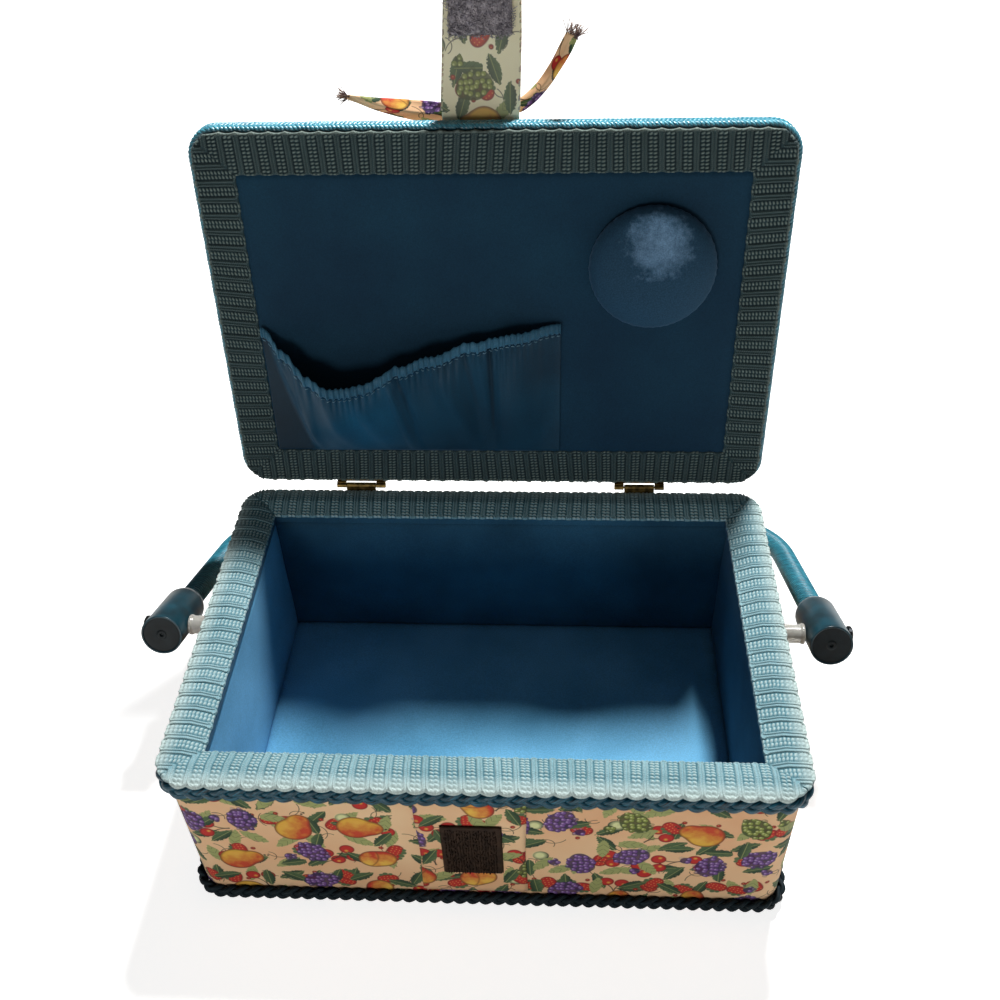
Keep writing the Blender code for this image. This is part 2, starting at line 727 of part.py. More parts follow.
def build_lid_band():
    # The printed band over the crown, from the back edge to the strap at the front
    path = []
    lift = 2 * SEAT_GAP + COVER_THICKNESS + BAND_THICKNESS
    lines = edge_lines(cover_y, CORNER_RADIUS, CROWN_STEPS_Y)[2:-1]
    for y in lines:
        path.append((y, lid_edge_high + lift + LID_CROWN * crown_height(0, y / cover_y)))
    front = strap_axis.y + STRAP_THICKNESS / 2 + SEAT_GAP
    first = (front, strap_axis.z + BAND_THICKNESS)
    path.insert(0, first)
    widths = [BAND_WIDTH] * len(path)
    widths[0] = STRAP_WIDTH
    mesh = ribbon("lid_band", path, widths, -BAND_OFFSET)
    band = place_piece("lid_band", mesh, print_cloth, lid_empty)
    thicken(band, BAND_THICKNESS, -1)


def hinge_leaf(name, leaf_z, x, knuckles, parent):
    # A leaf with a riser at its back edge that carries its knuckles
    riser_y = half_depth + SEAT_GAP + LEAF_THICKNESS / 2
    start = half_depth - RIM_FLAT + 2 * SEAT_GAP
    end = riser_y + LEAF_THICKNESS / 2
    leaf = block(name, (HINGE_WIDTH, end - start, LEAF_THICKNESS), (x, (start + end) / 2, leaf_z))
    piece = place_piece(name, leaf, brass, parent)
    for index, (middle, width) in enumerate(knuckles):
        riser = block(name + "_riser", (width, LEAF_THICKNESS, abs(lid_axis.z - leaf_z)),
                      (x + middle, riser_y, (lid_axis.z + leaf_z) / 2))
        barrel = along_x(rod(name + "_barrel", KNUCKLE_RADIUS, width),
                         x + middle, lid_axis.y, lid_axis.z)
        for word, mesh in (("riser", riser), ("barrel", barrel)):
            added = hang_cutter(name + "_" + word + str(index), mesh, parent)
            combine(piece, added, "UNION", word + " " + str(index))
    hole = along_x(rod(name + "_bore", KNUCKLE_BORE, HINGE_WIDTH + OVERRUN),
                   x, lid_axis.y, lid_axis.z)
    combine(piece, hang_cutter(name + "_bore", hole, parent), "DIFFERENCE", "pin hole")


def build_hinges():
    outer_width = (HINGE_WIDTH - KNUCKLE_WIDTH) / 2 - SEAT_GAP
    outer_middle = (HINGE_WIDTH - outer_width) / 2
    box_leaf_z = rail_high - SEAT_GAP - LEAF_THICKNESS / 2
    lid_leaf_z = lid_board_low + SEAT_GAP + LEAF_THICKNESS / 2
    for side, word in ((1, "right"), (-1, "left")):
        x = side * HINGE_SPACING / 2
        hinge_leaf("hinge_leaf_box_" + word, box_leaf_z, x, [(0, KNUCKLE_WIDTH)], None)
        hinge_leaf("hinge_leaf_lid_" + word, lid_leaf_z, x,
                   [(outer_middle, outer_width), (-outer_middle, outer_width)], lid_empty)
        pin = along_x(rod("hinge_pin", PIN_RADIUS, HINGE_WIDTH, 12), x, lid_axis.y, lid_axis.z)
        place_piece("hinge_pin_" + word, pin, brass)


# Pocket and pincushion

# Along the pocket from its left end: share of its width, of its depth and of its bulge
pocket_edge_shares = (
    (0.00, 0.97, 0.00), (0.08, 0.84, 0.45), (0.16, 0.68, 0.85), (0.24, 0.60, 1.00),
    (0.34, 0.63, 0.95), (0.46, 0.74, 0.75), (0.58, 0.83, 0.60), (0.72, 0.91, 0.50),
    (0.86, 0.97, 0.35), (1.00, 1.00, 0.00))


def edge_share(along, column):
    # Smooth reading between the shares of the pocket's top edge
    for left, right in zip(pocket_edge_shares, pocket_edge_shares[1:]):
        if along <= right[0]:
            part = (along - left[0]) / (right[0] - left[0])
            part = part * part * (3 - 2 * part)
            return left[column] + (right[column] - left[column]) * part
    return pocket_edge_shares[-1][column]


pocket_left = -half_width + LID_TRIM_WIDTH + 2 * SEAT_GAP
pocket_back = half_depth - LID_TRIM_WIDTH - 2 * SEAT_GAP
pocket_seat = lid_lining_low - SEAT_GAP


def pocket_point(along, up, stand_off):
    # A point of the pocket's outer face, in the closed lid's place; up is 0 at the bottom seam
    fold = POCKET_FOLD * math.sin(along * POCKET_FOLDS * math.pi) * math.sin(along * math.pi) * up
    bulge = POCKET_BULGE * edge_share(along, 2) * math.sin(math.pi / 2 * up ** POCKET_SWELL)
    x = pocket_left + POCKET_WIDTH * along
    y = pocket_back - POCKET_DEPTH * edge_share(along, 1) * up
    return Vector((x, y, pocket_seat - stand_off - bulge - fold * edge_share(along, 2)))


def build_pocket():
    columns = 28
    rows = 7
    mesh = bpy.data.meshes.new("pocket")
    shape = bmesh.new()
    bmesh.ops.create_grid(shape, x_segments=columns, y_segments=rows, size=1.0)
    for vert in shape.verts:
        along = (vert.co.x + 1) / 2
        up = (vert.co.y + 1) / 2
        vert.co = pocket_point(along, up, POCKET_CLOTH)
    bmesh.ops.recalc_face_normals(shape, faces=shape.faces)
    if sum(face.normal.z for face in shape.faces) > 0:
        bmesh.ops.reverse_faces(shape, faces=shape.faces)
    shape.to_mesh(mesh)
    shape.free()
    piece = place_piece("pocket", mesh, lining_cloth, lid_empty, smooth=True)
    thicken(piece, POCKET_CLOTH, -1)

    casing = bpy.data.meshes.new("pocket_elastic")
    shape = bmesh.new()
    bmesh.ops.create_grid(shape, x_segments=columns, y_segments=1, size=1.0)
    for vert in shape.verts:
        along = (vert.co.x + 1) / 2
        edge = pocket_point(along, 1.0, ELASTIC_THICKNESS)
        reach = ELASTIC_WIDTH if vert.co.y > 0 else 0
        edge.y -= reach + SEAT_GAP
        vert.co = edge
    bmesh.ops.recalc_face_normals(shape, faces=shape.faces)
    if sum(face.normal.z for face in shape.faces) > 0:
        bmesh.ops.reverse_faces(shape, faces=shape.faces)
    shape.to_mesh(casing)
    shape.free()
    piece = place_piece("pocket_elastic", casing, lining_cloth, lid_empty, smooth=True)
    thicken(piece, ELASTIC_THICKNESS, -1)


# Down the side of the pincushion from its widest turn: shares of its radius and of its height
cushion_side_shares = ((0.97, 0.08), (0.93, 0.0))
cushion_widest_share = 0.25


def build_pincushion():
    card = rod("pincushion_card", CUSHION_RADIUS - CUSHION_CARD, CUSHION_CARD, 32)
    card_z = pocket_seat - CUSHION_CARD / 2
    cushion_x = half_width - LID_TRIM_WIDTH - CUSHION_SIDE_MARGIN - CUSHION_RADIUS
    cushion_y = -half_depth + LID_TRIM_WIDTH + CUSHION_FRONT_MARGIN + CUSHION_RADIUS
    place_piece("pincushion_card", card, board, lid_empty,
                place=(cushion_x, cushion_y, card_z))
    # A stuffed half ball whose sides draw in under its widest turn
    profile = [(0, CUSHION_HEIGHT)]
    turns = 9
    widest = CUSHION_HEIGHT * cushion_widest_share
    for step in range(1, turns + 1):
        angle = math.pi / 2 * step / turns
        rise = widest + (CUSHION_HEIGHT - widest) * math.cos(angle)
        profile.append((CUSHION_RADIUS * math.sin(angle) ** CUSHION_SWELL, rise))
    for out, rise in cushion_side_shares:
        profile.append((CUSHION_RADIUS * out, CUSHION_HEIGHT * rise))
    profile.append((0, 0))
    cushion = turned("pincushion", profile, 28)
    place_piece("pincushion", cushion, velvet, lid_empty,
                place=(cushion_x, cushion_y, card_z - CUSHION_CARD / 2 - SEAT_GAP),
                turn=(math.pi, 0, 0), smooth=True)


# Handle, drawn upright

def arch_point(distance, straight, bend, top):
    # A point on the arch at a distance from the left pivot
    if distance <= straight:
        return Vector((-handle_side, 0, distance))
    if distance <= straight + bend:
        angle = (distance - straight) / HANDLE_CORNER
        return Vector((
            -handle_side + HANDLE_CORNER * (1 - math.cos(angle)), 0,
            straight + HANDLE_CORNER * math.sin(angle)))
    if distance <= straight + bend + top / 2:
        return Vector((
            -handle_side + HANDLE_CORNER + distance - straight - bend, 0,
            straight + HANDLE_CORNER))
    whole = 2 * (straight + bend) + top
    mirrored = arch_point(whole - distance, straight, bend, top)
    return Vector((-mirrored.x, 0, mirrored.z))


def build_handle():
    straight = HANDLE_REACH - HANDLE_CORNER
    bend = HANDLE_CORNER * math.pi / 2
    top = 2 * (handle_side - HANDLE_CORNER)
    whole = 2 * (straight + bend) + top
    start = CAP_BORE_START
    turns_in_bend = 10
    plain = [start, straight]
    plain += [straight + bend * step / turns_in_bend for step in range(1, turns_in_bend + 1)]
    plain += [whole - distance for distance in plain[::-1]]
    path = [arch_point(distance, straight, bend, top) for distance in plain]
    core = tube("handle_core", path, [HANDLE_CORE_RADIUS] * len(path), 2)
    place_piece("handle_core", core, core_plastic, handle_empty, place=handle_axis, smooth=True)

    longer = [path[0] - Vector((0, 0, OVERRUN))] + path[1:-1] + [path[-1] - Vector((0, 0, OVERRUN))]
    hollow = tube("wrap_hollow", longer, [HANDLE_CORE_RADIUS + SEAT_GAP] * len(longer), 2)
    wound = whole - 2 * start
    ribs = round(wound / WRAP_PITCH)
    points = []
    radii = []
    for index in range(2 * ribs + 1):
        points.append(arch_point(start + wound * index / (2 * ribs), straight, bend, top))
        radii.append(WRAP_RADIUS if index % 2 else WRAP_RADIUS - WRAP_GROOVE)
    wrap = tube("handle_wrap", points, radii, 2)
    piece = place_piece("handle_wrap", wrap, satin_cord, handle_empty, place=handle_axis)
    made = hang_cutter("wrap_hollow", hollow, handle_empty, handle_axis)
    combine(piece, made, "DIFFERENCE", "core hollow")

    bore = WRAP_RADIUS + SEAT_GAP
    nose = -CAP_NOSE
    tail = CAP_LENGTH - CAP_NOSE
    profile = [
        (bore, tail), (CAP_NECK_RADIUS, tail), (CAP_RADIUS, nose + CAP_EDGE),
        (CAP_RADIUS - CAP_EDGE, nose), (CAP_DIMPLE_RADIUS, nose),
        (0, nose + CAP_DIMPLE_DEPTH)]
    inside = [(0, start - SEAT_GAP), (bore, start - SEAT_GAP), (bore, tail)]
    hole = rod("cap_hole", screw_bore, 4 * CAP_RADIUS)
    for side, name in ((-1, "left"), (1, "right")):
        cap = turned("handle_cap_" + name, profile + inside)
        place = handle_axis + Vector((side * handle_side, 0, 0))
        piece = place_piece("handle_cap_" + name, cap, cap_plastic, handle_empty, place=place,
                            smooth=True)
        made = hang_cutter("cap_hole_" + name, along_x(hole.copy(), *place), handle_empty)
        combine(piece, made, "DIFFERENCE", "screw hole")


# The flat of the screw head as a share of its radius, its shoulder as a share of its height
screw_dome_share = 0.7
screw_shoulder_share = 0.1


def build_pivots():
    spacer_x = cover_x + SEAT_GAP + SPACER_LENGTH / 2
    nut_x = wall_inner_x - SEAT_GAP - NUT_THICKNESS / 2
    head_x = handle_side + CAP_RADIUS + SEAT_GAP + SCREW_HEAD_HEIGHT / 2
    shaft = head_x - nut_x + NUT_THICKNESS / 2 + SCREW_TAIL
    sleeve = turned("pivot_spacer", ring_profile(
        SPACER_RADIUS, screw_bore, SPACER_LENGTH / 2, -SPACER_LENGTH / 2), 16)
    flange = NUT_THICKNESS / 2 - NUT_FLANGE
    nut = turned("pivot_nut", [
        (screw_bore, NUT_THICKNESS / 2), (NUT_FLANGE_RADIUS, NUT_THICKNESS / 2),
        (NUT_FLANGE_RADIUS, flange), (NUT_RADIUS, flange), (NUT_RADIUS, -NUT_THICKNESS / 2),
        (screw_bore, -NUT_THICKNESS / 2), (screw_bore, NUT_THICKNESS / 2)], 12)
    domed = SCREW_HEAD_RADIUS * screw_dome_share
    shoulder = SCREW_HEAD_HEIGHT * screw_shoulder_share
    screw = turned("pivot_screw", [
        (0, SCREW_HEAD_HEIGHT / 2), (domed, SCREW_HEAD_HEIGHT / 2),
        (SCREW_HEAD_RADIUS, shoulder), (SCREW_HEAD_RADIUS, -SCREW_HEAD_HEIGHT / 2),
        (SCREW_RADIUS, -SCREW_HEAD_HEIGHT / 2), (SCREW_RADIUS, -shaft), (0, -shaft)], 16)
    for side, word in ((1, "right"), (-1, "left")):
        for name, source, x, finish in (
                ("pivot_spacer_", sleeve, spacer_x, clear_plastic),
                ("pivot_nut_", nut, nut_x, steel), ("pivot_screw_", screw, head_x, steel)):
            place_piece(name + word, source.copy(), finish,
                        place=(side * x, PIVOT_BACK, pivot_rise),
                        turn=(0, side * math.pi / 2, 0), smooth=True)


# Closure strap and its bow, drawn straight out from the front of the closed lid

# Across and along the strap from its root: shares of its width and of its length
strap_outline_shares = (
    (-0.50, 0.00), (0.50, 0.00), (0.53, 0.55), (0.53, 0.84), (0.30, 1.00), (-0.24, 1.00),
    (-0.40, 0.84), (-0.44, 0.50))
# Across and along the loop patch: shares of its width and of its length
loop_outline_shares = (
    (-0.50, 0.00), (0.50, 0.00), (0.50, 0.64), (0.30, 1.00), (-0.34, 1.00), (-0.48, 0.64))


def build_strap():
    front = strap_axis.y
    outline = [(-BAND_OFFSET + share * STRAP_WIDTH, front - along * STRAP_LENGTH)
               for share, along in strap_outline_shares]
    strap = plate("closure_strap", [outline], STRAP_THICKNESS)
    piece = place_piece("closure_strap", strap, print_cloth, strap_empty,
                        place=(0, 0, strap_axis.z))
    soften(piece, STRAP_THICKNESS / 4)
    patch_front = front - STRAP_LENGTH + LOOP_LENGTH + LOOP_END_MARGIN
    patch_x = -BAND_OFFSET + LOOP_END_MARGIN
    outline = [(patch_x + share * LOOP_WIDTH, patch_front - along * LOOP_LENGTH)
               for share, along in loop_outline_shares]
    patch = plate("loop_patch", [outline], LOOP_THICKNESS)
    drop = STRAP_THICKNESS / 2 + SEAT_GAP + LOOP_THICKNESS / 2
    place_piece("loop_patch", patch, loop_tape, strap_empty,
                place=(0, 0, strap_axis.z - drop))


# Along a tail from the knot: shares of its length out to the side, of its length forwards,
# of its length upwards, and of its full width
left_tail_shares = (
    (0.00, 0.02, 0.00, 0.35), (0.14, -0.02, 0.06, 0.75), (0.32, -0.01, 0.06, 1.00),
    (0.52, 0.04, 0.03, 0.95), (0.72, 0.09, 0.00, 0.70), (0.88, 0.13, -0.02, 0.42),
    (1.00, 0.14, -0.02, 0.22))
right_tail_shares = (
    (0.00, -0.05, 0.00, 0.35), (0.18, 0.02, 0.04, 0.60), (0.36, 0.15, 0.06, 0.85),
    (0.56, 0.31, 0.05, 0.85), (0.76, 0.46, 0.03, 0.70), (0.88, 0.58, 0.01, 0.75),
    (0.92, 0.72, 0.00, 0.50))


# How far a tail's edges stand above its middle, and where it is level: shares of its width
tail_fold_share = 0.3
tail_middle_share = 0.5


def tail(name, side, shares, length):
    # A folded cloth end, drawn along its own line and thickened
    mesh = bpy.data.meshes.new(name)
    shape = bmesh.new()
    last = len(shares) - 1
    bmesh.ops.create_grid(shape, x_segments=last, y_segments=2, size=1.0)
    root = Vector((-BAND_OFFSET + side * (KNOT_LENGTH / 2 + SEAT_GAP + TAIL_CLOTH / 2),
                   strap_axis.y - KNOT_REACH,
                   strap_axis.z + STRAP_THICKNESS / 2 + SEAT_GAP + KNOT_HEIGHT / 2))
    spots = [root + Vector((side * out * length, -ahead * length, up * length))
             for out, ahead, up, width in shares]
    for vert in shape.verts:
        index = round((vert.co.x + 1) / 2 * last)
        before = spots[max(index - 1, 0)]
        after = spots[min(index + 1, last)]
        line = (after - before).normalized()
        across = line.cross(Vector((0, 0, 1))).normalized()
        fold = Vector((0, 0, 1)) * (abs(vert.co.y) - tail_middle_share) * tail_fold_share
        vert.co = spots[index] + (across * vert.co.y / 2 + fold) * TAIL_WIDTH * shares[index][3]
    bmesh.ops.recalc_face_normals(shape, faces=shape.faces)
    shape.to_mesh(mesh)
    shape.free()
    piece = place_piece(name, mesh, print_cloth, strap_empty, smooth=True)
    thicken(piece, TAIL_CLOTH, 0)


def build_bow():
    knot = block("bow_knot", (KNOT_LENGTH, KNOT_WIDTH, KNOT_HEIGHT))
    place = (-BAND_OFFSET, strap_axis.y - KNOT_REACH,
             strap_axis.z + STRAP_THICKNESS / 2 + SEAT_GAP + KNOT_HEIGHT / 2)
    piece = place_piece("bow_knot", knot, print_cloth, strap_empty, place=place, smooth=True)
    soften(piece, KNOT_HEIGHT / 3, 3)
    tail("bow_tail_left", -1, left_tail_shares, LEFT_TAIL_LENGTH)
    tail("bow_tail_right", 1, right_tail_shares, RIGHT_TAIL_LENGTH)


build_base()
build_walls()
build_cover()
build_front()
build_rim()
build_lid()
build_lid_band()
build_hinges()
build_pocket()
build_pincushion()
build_handle()
build_pivots()
build_strap()
build_bow()

# The pose in the photograph: the lid open and leaning back, the handle down behind
lid_empty.rotation_euler = (-LID_OPEN_ANGLE, 0, 0)
handle_empty.rotation_euler = (-math.pi / 2 - handle_drop, 0, 0)
bpy.context.view_layer.update()
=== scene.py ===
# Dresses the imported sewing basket: cloth, braid, cords and padding over its fixed frame.
# Metres, +Z up, the front faces -Y. Cloth and cord patterns are laid out in millimetres.

import json
import math

import bmesh
import bpy
import numpy as np
from mathutils import Matrix, Vector


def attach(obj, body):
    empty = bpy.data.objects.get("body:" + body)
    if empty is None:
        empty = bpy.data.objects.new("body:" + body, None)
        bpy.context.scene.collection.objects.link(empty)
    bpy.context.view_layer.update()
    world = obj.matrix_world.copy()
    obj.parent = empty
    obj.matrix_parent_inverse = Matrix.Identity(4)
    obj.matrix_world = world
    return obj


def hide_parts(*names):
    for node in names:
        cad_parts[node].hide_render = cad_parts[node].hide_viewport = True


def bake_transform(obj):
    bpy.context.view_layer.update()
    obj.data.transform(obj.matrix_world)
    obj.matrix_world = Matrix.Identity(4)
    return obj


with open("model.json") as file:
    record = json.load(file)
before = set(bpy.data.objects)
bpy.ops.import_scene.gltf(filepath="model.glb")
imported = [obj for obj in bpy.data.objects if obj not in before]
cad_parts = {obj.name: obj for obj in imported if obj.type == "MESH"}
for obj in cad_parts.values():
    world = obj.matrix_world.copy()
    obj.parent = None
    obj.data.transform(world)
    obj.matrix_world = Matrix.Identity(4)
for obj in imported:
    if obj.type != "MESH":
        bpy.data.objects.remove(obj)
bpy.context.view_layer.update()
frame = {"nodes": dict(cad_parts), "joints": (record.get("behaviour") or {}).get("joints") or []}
mm = 0.001
turn = 2 * math.pi


# Where things are, read from the frame

def nodePoints(node):
    mesh = frame["nodes"][node].data
    points = np.zeros(len(mesh.vertices) * 3)
    mesh.vertices.foreach_get("co", points)
    return points.reshape(-1, 3)


def turned(points, pivot, angle):  # about an axis along X
    points = np.asarray(points, float) - pivot
    cosine = math.cos(angle)
    sine = math.sin(angle)
    y = points[..., 1] * cosine - points[..., 2] * sine
    z = points[..., 1] * sine + points[..., 2] * cosine
    return np.stack([points[..., 0], y, z], -1) + pivot


joints = {joint["name"]: joint for joint in frame["joints"]}
lidPivot = np.array(joints["lid_hinge"]["pos_m"])
lidOpen = -math.radians(joints["lid_hinge"]["range_deg"][1])  # the lid shuts at its far limit
handlePivot = np.array(joints["handle_swing"]["pos_m"])
corePoints = nodePoints("handle_core") - handlePivot
coreReach = np.hypot(corePoints[:, 1], corePoints[:, 2])
farHalf = coreReach > coreReach.max() - 7.5 * mm  # the rod of the grip is 7 mm thick
gripMiddle = (corePoints[farHalf].min(0) + corePoints[farHalf].max(0)) / 2
handleDown = -math.atan2(gripMiddle[1], gripMiddle[2])  # from upright to where it rests
handleReach = math.hypot(gripMiddle[1], gripMiddle[2])


def asBuilt(points):
    return np.asarray(points, float)


def onLid(points):  # from the shut lid's place to the open lid's
    return turned(points, lidPivot, lidOpen)


def onHandle(points):  # drawn upright about its pivots, then folded down
    return turned(np.asarray(points, float) + handlePivot, handlePivot, handleDown)


def reach(node, lidShut=False):
    points = nodePoints(node)
    if lidShut:
        points = turned(points, lidPivot, -lidOpen)
    return points.min(0), points.max(0)


boxLow, boxHigh = reach("box_cover")
rimLow, rimHigh = reach("rim_trim_front")
lidLow, lidHigh = reach("lid_cover", True)
lidFace = reach("lid_trim_front", True)[0][2]
halfWidth = reach("rim_trim_right")[1][0]
halfDepth = -rimLow[1]
rimTop = rimHigh[2]
coverX = boxHigh[0]
coverY = boxHigh[1]
cornerRound = 10 * mm
print("frame read, the lid stands open by", round(math.degrees(-lidOpen), 1), "degrees")


# Colours and nodes

def paint(code):  # an sRGB hex value as a linear colour
    parts = [int(code[place:place + 2], 16) / 255 for place in (1, 3, 5)]
    linear = [part / 12.92 if part <= 0.04045 else ((part + 0.055) / 1.055) ** 2.4
              for part in parts]
    return (*linear, 1.0)


def addNode(tree, kind, links=(), out=0, **settings):
    node = tree.nodes.new("ShaderNode" + kind)
    for name, value in settings.items():
        setattr(node, name, value)
    if isinstance(links, dict):
        pairs = [(node.inputs[name], value) for name, value in links.items()]
    else:
        pairs = zip([socket for socket in node.inputs if socket.enabled], links)
    for socket, value in pairs:
        if isinstance(value, bpy.types.NodeSocket):
            tree.links.new(value, socket)
        elif value is not None:
            socket.default_value = value
    if not node.outputs:
        return node
    if isinstance(out, tuple):
        return [node.outputs[name] for name in out]
    return node.outputs[out]


def newMaterial(name):
    made = bpy.data.materials.new(name)
    made.use_nodes = True
    made.node_tree.nodes.clear()
    return made


def workPlace(tree):  # where a point lies on the flat cloth or along the cord, in mm
    return addNode(tree, "Attribute", out="Vector", attribute_name="workPlace")


def objectPlaceMm(tree):
    place = addNode(tree, "TexCoord", out="Object")
    return addNode(tree, "VectorMath", [place, 1 / mm], operation="SCALE")


def closeFinish(made, colour, height, strength, depthMm, **sockets):
    # Joins colour and relief to the shader; _ stands for a space in a socket's name
    tree = made.node_tree
    bump = addNode(tree, "Bump", {"Height": height, "Strength": strength,
                                  "Distance": depthMm * mm}, out="Normal")
    links = {"Base Color": colour, "Normal": bump}
    links.update({key.replace("_", " "): value for key, value in sockets.items()})
    addNode(tree, "OutputMaterial", [addNode(tree, "BsdfPrincipled", links)])
    return made


# Printed cotton, woven fine and screen printed: fruit and leaves on cream, matt

printLook = {
    "leafDark": "#27402F", "leafMid": "#587048",
    "leafPale": "#A3A86A", "stem": "#3A3024", "pearYellow": "#E6B243", "pearRed": "#CC4A2C",
    "fruitEdge": "#7A3A22", "peachYellow": "#EFC052", "peachRed": "#CC3A2A",
    "grape": "#7A5496", "grapeLight": "#CDB4DC", "grapeDark": "#3A2450",
    "greenGrape": "#8F9A4A", "greenLight": "#E0E2A6", "greenDark": "#3C4A22",
    "berryRed": "#C6302A", "seed": "#F0B860", "berryDark": "#861E20",
    "paintedLightInk": "#FFFAE6",
    "mainCell": 27.0, "leafCell": 15.0, "smallCell": 22.0, "tendrilCell": 17.0,  # in mm
    "beadCell": 2.5, "seedCell": 1.25, "threadGap": 0.6, "edge": 0.16,
    "mainGrow": 1.22, "smallGrow": 1.3,
    # The part of the random numbers that each kind of motif takes
    "leaves": (0.0, 0.86), "paleLeaves": (0.62, 1.0), "tendrils": (0.0, 0.7),
    "cherries": (0.0, 0.36), "strawberries": (0.36, 0.74), "greenBerries": (0.74, 0.88),
    "pears": (0.0, 0.3), "peaches": (0.3, 0.48), "grapes": (0.48, 0.84),
    "greenGrapes": (0.84, 1.0),
}
ink = {name: paint(code) for name, code in printLook.items() if isinstance(code, str)}


def motifCell(tree, place, size, shift, spread=0.4, grow=1.0):
    # The place inside the nearest motif's cell, turned at random, and two random numbers of it
    moved = addNode(tree, "VectorMath", [place, (*shift, 0)], operation="ADD")
    centre, chance = addNode(
        tree, "TexVoronoi", {"Vector": moved, "Scale": 1 / size, "Randomness": spread},
        out=("Position", "Color"), voronoi_dimensions="2D")
    local = addNode(tree, "VectorMath", [moved, centre], operation="SUBTRACT")
    spin, kind, tint = addNode(tree, "SeparateColor", [chance], out=(0, 1, 2))
    angle = addNode(tree, "Math", [spin, turn * 1.7], operation="MULTIPLY")
    local = addNode(tree, "VectorRotate", {"Vector": local, "Angle": angle}, rotation_type="Z_AXIS")
    local = addNode(tree, "VectorMath", [local, 1 / grow], operation="SCALE")
    return local, kind, tint


def roundSpot(tree, place, centre, radius):  # how far outside a round spot a point is
    gap = addNode(tree, "VectorMath", [place, (*centre, 0)], out="Value", operation="DISTANCE")
    return addNode(tree, "Math", [gap, radius], operation="SUBTRACT")


def blobOf(tree, place, spots, melt):  # round spots that melt into one outline
    outline = roundSpot(tree, place, *spots[0])
    for centre, radius in spots[1:]:
        more = roundSpot(tree, place, centre, radius)
        outline = addNode(tree, "Math", [outline, more, melt], operation="SMOOTH_MIN")
    return outline


def inkOver(tree, below, colour, outline, shown=None, edge=printLook["edge"], strength=1.0):
    # Ink laid over what is below it, inside an outline and where it is shown
    mask = addNode(tree, "MapRange", [outline, -edge, edge, strength, 0.0])
    if shown is not None:
        mask = addNode(tree, "Math", [mask, shown], operation="MULTIPLY")
    return addNode(tree, "Mix", [mask, below, colour], out=2, data_type="RGBA")


def rimmed(tree, below, rim, fill, outline, shown, inset, edge):
    # A motif with a darker rim, and the outline inside that rim
    below = inkOver(tree, below, rim, outline, shown)
    inner = addNode(tree, "Math", [outline, inset], operation="ADD")
    return inkOver(tree, below, fill, inner, shown, edge), inner


def thinCurves(tree, place, rings, halfWidth, room):
    # Thin rings, each a centre and a radius, drawn only where they pass through a room
    nearest = None
    for ring in rings:
        gap = addNode(tree, "Math", [roundSpot(tree, place, *ring)], operation="ABSOLUTE")
        nearest = gap if nearest is None else addNode(
            tree, "Math", [nearest, gap], operation="MINIMUM")
    line = addNode(tree, "Math", [nearest, halfWidth], operation="SUBTRACT")
    return addNode(tree, "Math", [line, room], operation="MAXIMUM")


def shaded(tree, place, across, first, second, rough, seed):
    # A painted change of colour across a fruit, broken up as brush strokes are
    x, y = addNode(tree, "SeparateXYZ", [place], out=(0, 1))
    brush = addNode(tree, "TexNoise", {"Vector": addNode(
        tree, "VectorMath", [place, (seed, 0, 0)], operation="ADD"), "Scale": 0.28, "Detail": 3.0})
    brush = addNode(tree, "MapRange", [brush, 0.3, 0.7, -rough, rough])
    along = addNode(tree, "Math", [x if across else y, brush], operation="ADD")
    share = addNode(tree, "MapRange", [along, -4.5, 4.5, 0.0, 1.0])
    return addNode(tree, "Mix", [share, first, second], out=2, data_type="RGBA")


def between(tree, value, low, high):  # 1 where a value lies in a range, and 0 elsewhere
    return addNode(tree, "Math", [value, (low + high) / 2, (high - low) / 2], operation="COMPARE")


def printLeaves(tree, below, place, shift):
    spot, kind, tint = motifCell(tree, place, printLook["leafCell"], shift, 0.5)
    x, y = addNode(tree, "SeparateXYZ", [spot], out=(0, 1))
    fray = addNode(tree, "TexNoise", {"Vector": place, "Scale": 0.9, "Detail": 1.0})
    fray = addNode(tree, "MapRange", [fray, 0.0, 1.0, -0.9, 0.9])
    left = roundSpot(tree, spot, (-7.4, 0), 10.1)
    right = roundSpot(tree, spot, (7.4, 0), 10.1)
    outline = addNode(tree, "Math", [left, right], operation="MAXIMUM")
    outline = addNode(tree, "Math", [outline, fray], operation="ADD")
    shade = addNode(tree, "MapRange", [x, -2.4, 2.4, 0.0, 1.0])
    leaf = addNode(tree, "Mix", [shade, ink["leafDark"], ink["leafMid"]], out=2, data_type="RGBA")
    pale = between(tree, tint, *printLook["paleLeaves"])
    leaf = addNode(tree, "Mix", [pale, leaf, ink["leafPale"]], out=2, data_type="RGBA")
    side = addNode(tree, "Math", [x], operation="ABSOLUTE")
    slant = addNode(tree, "Math", [side, -1.1, y], operation="MULTIPLY_ADD")
    veins = addNode(tree, "Math", [slant, 1.7], operation="PINGPONG")
    veins = addNode(tree, "Math", [veins, 0.18], operation="SUBTRACT")
    leaf = inkOver(tree, leaf, ink["leafDark"], veins, strength=0.6)
    rib = addNode(tree, "Math", [side, 0.16], operation="SUBTRACT")
    leaf = inkOver(tree, leaf, ink["leafPale"], rib, strength=0.8)
    return inkOver(tree, below, leaf, outline, between(tree, kind, *printLook["leaves"]))


def printTendrils(tree, below, place, shift):
    spot, kind = motifCell(tree, place, printLook["tendrilCell"], shift, 0.6)[:2]
    room = roundSpot(tree, spot, (-1.5, 3.5), 4.6)
    line = thinCurves(tree, spot, (((1.5, 0), 3.4), ((-6.0, 2.0), 6.5)), 0.17, room)
    return inkOver(tree, below, ink["stem"], line, between(tree, kind, *printLook["tendrils"]))


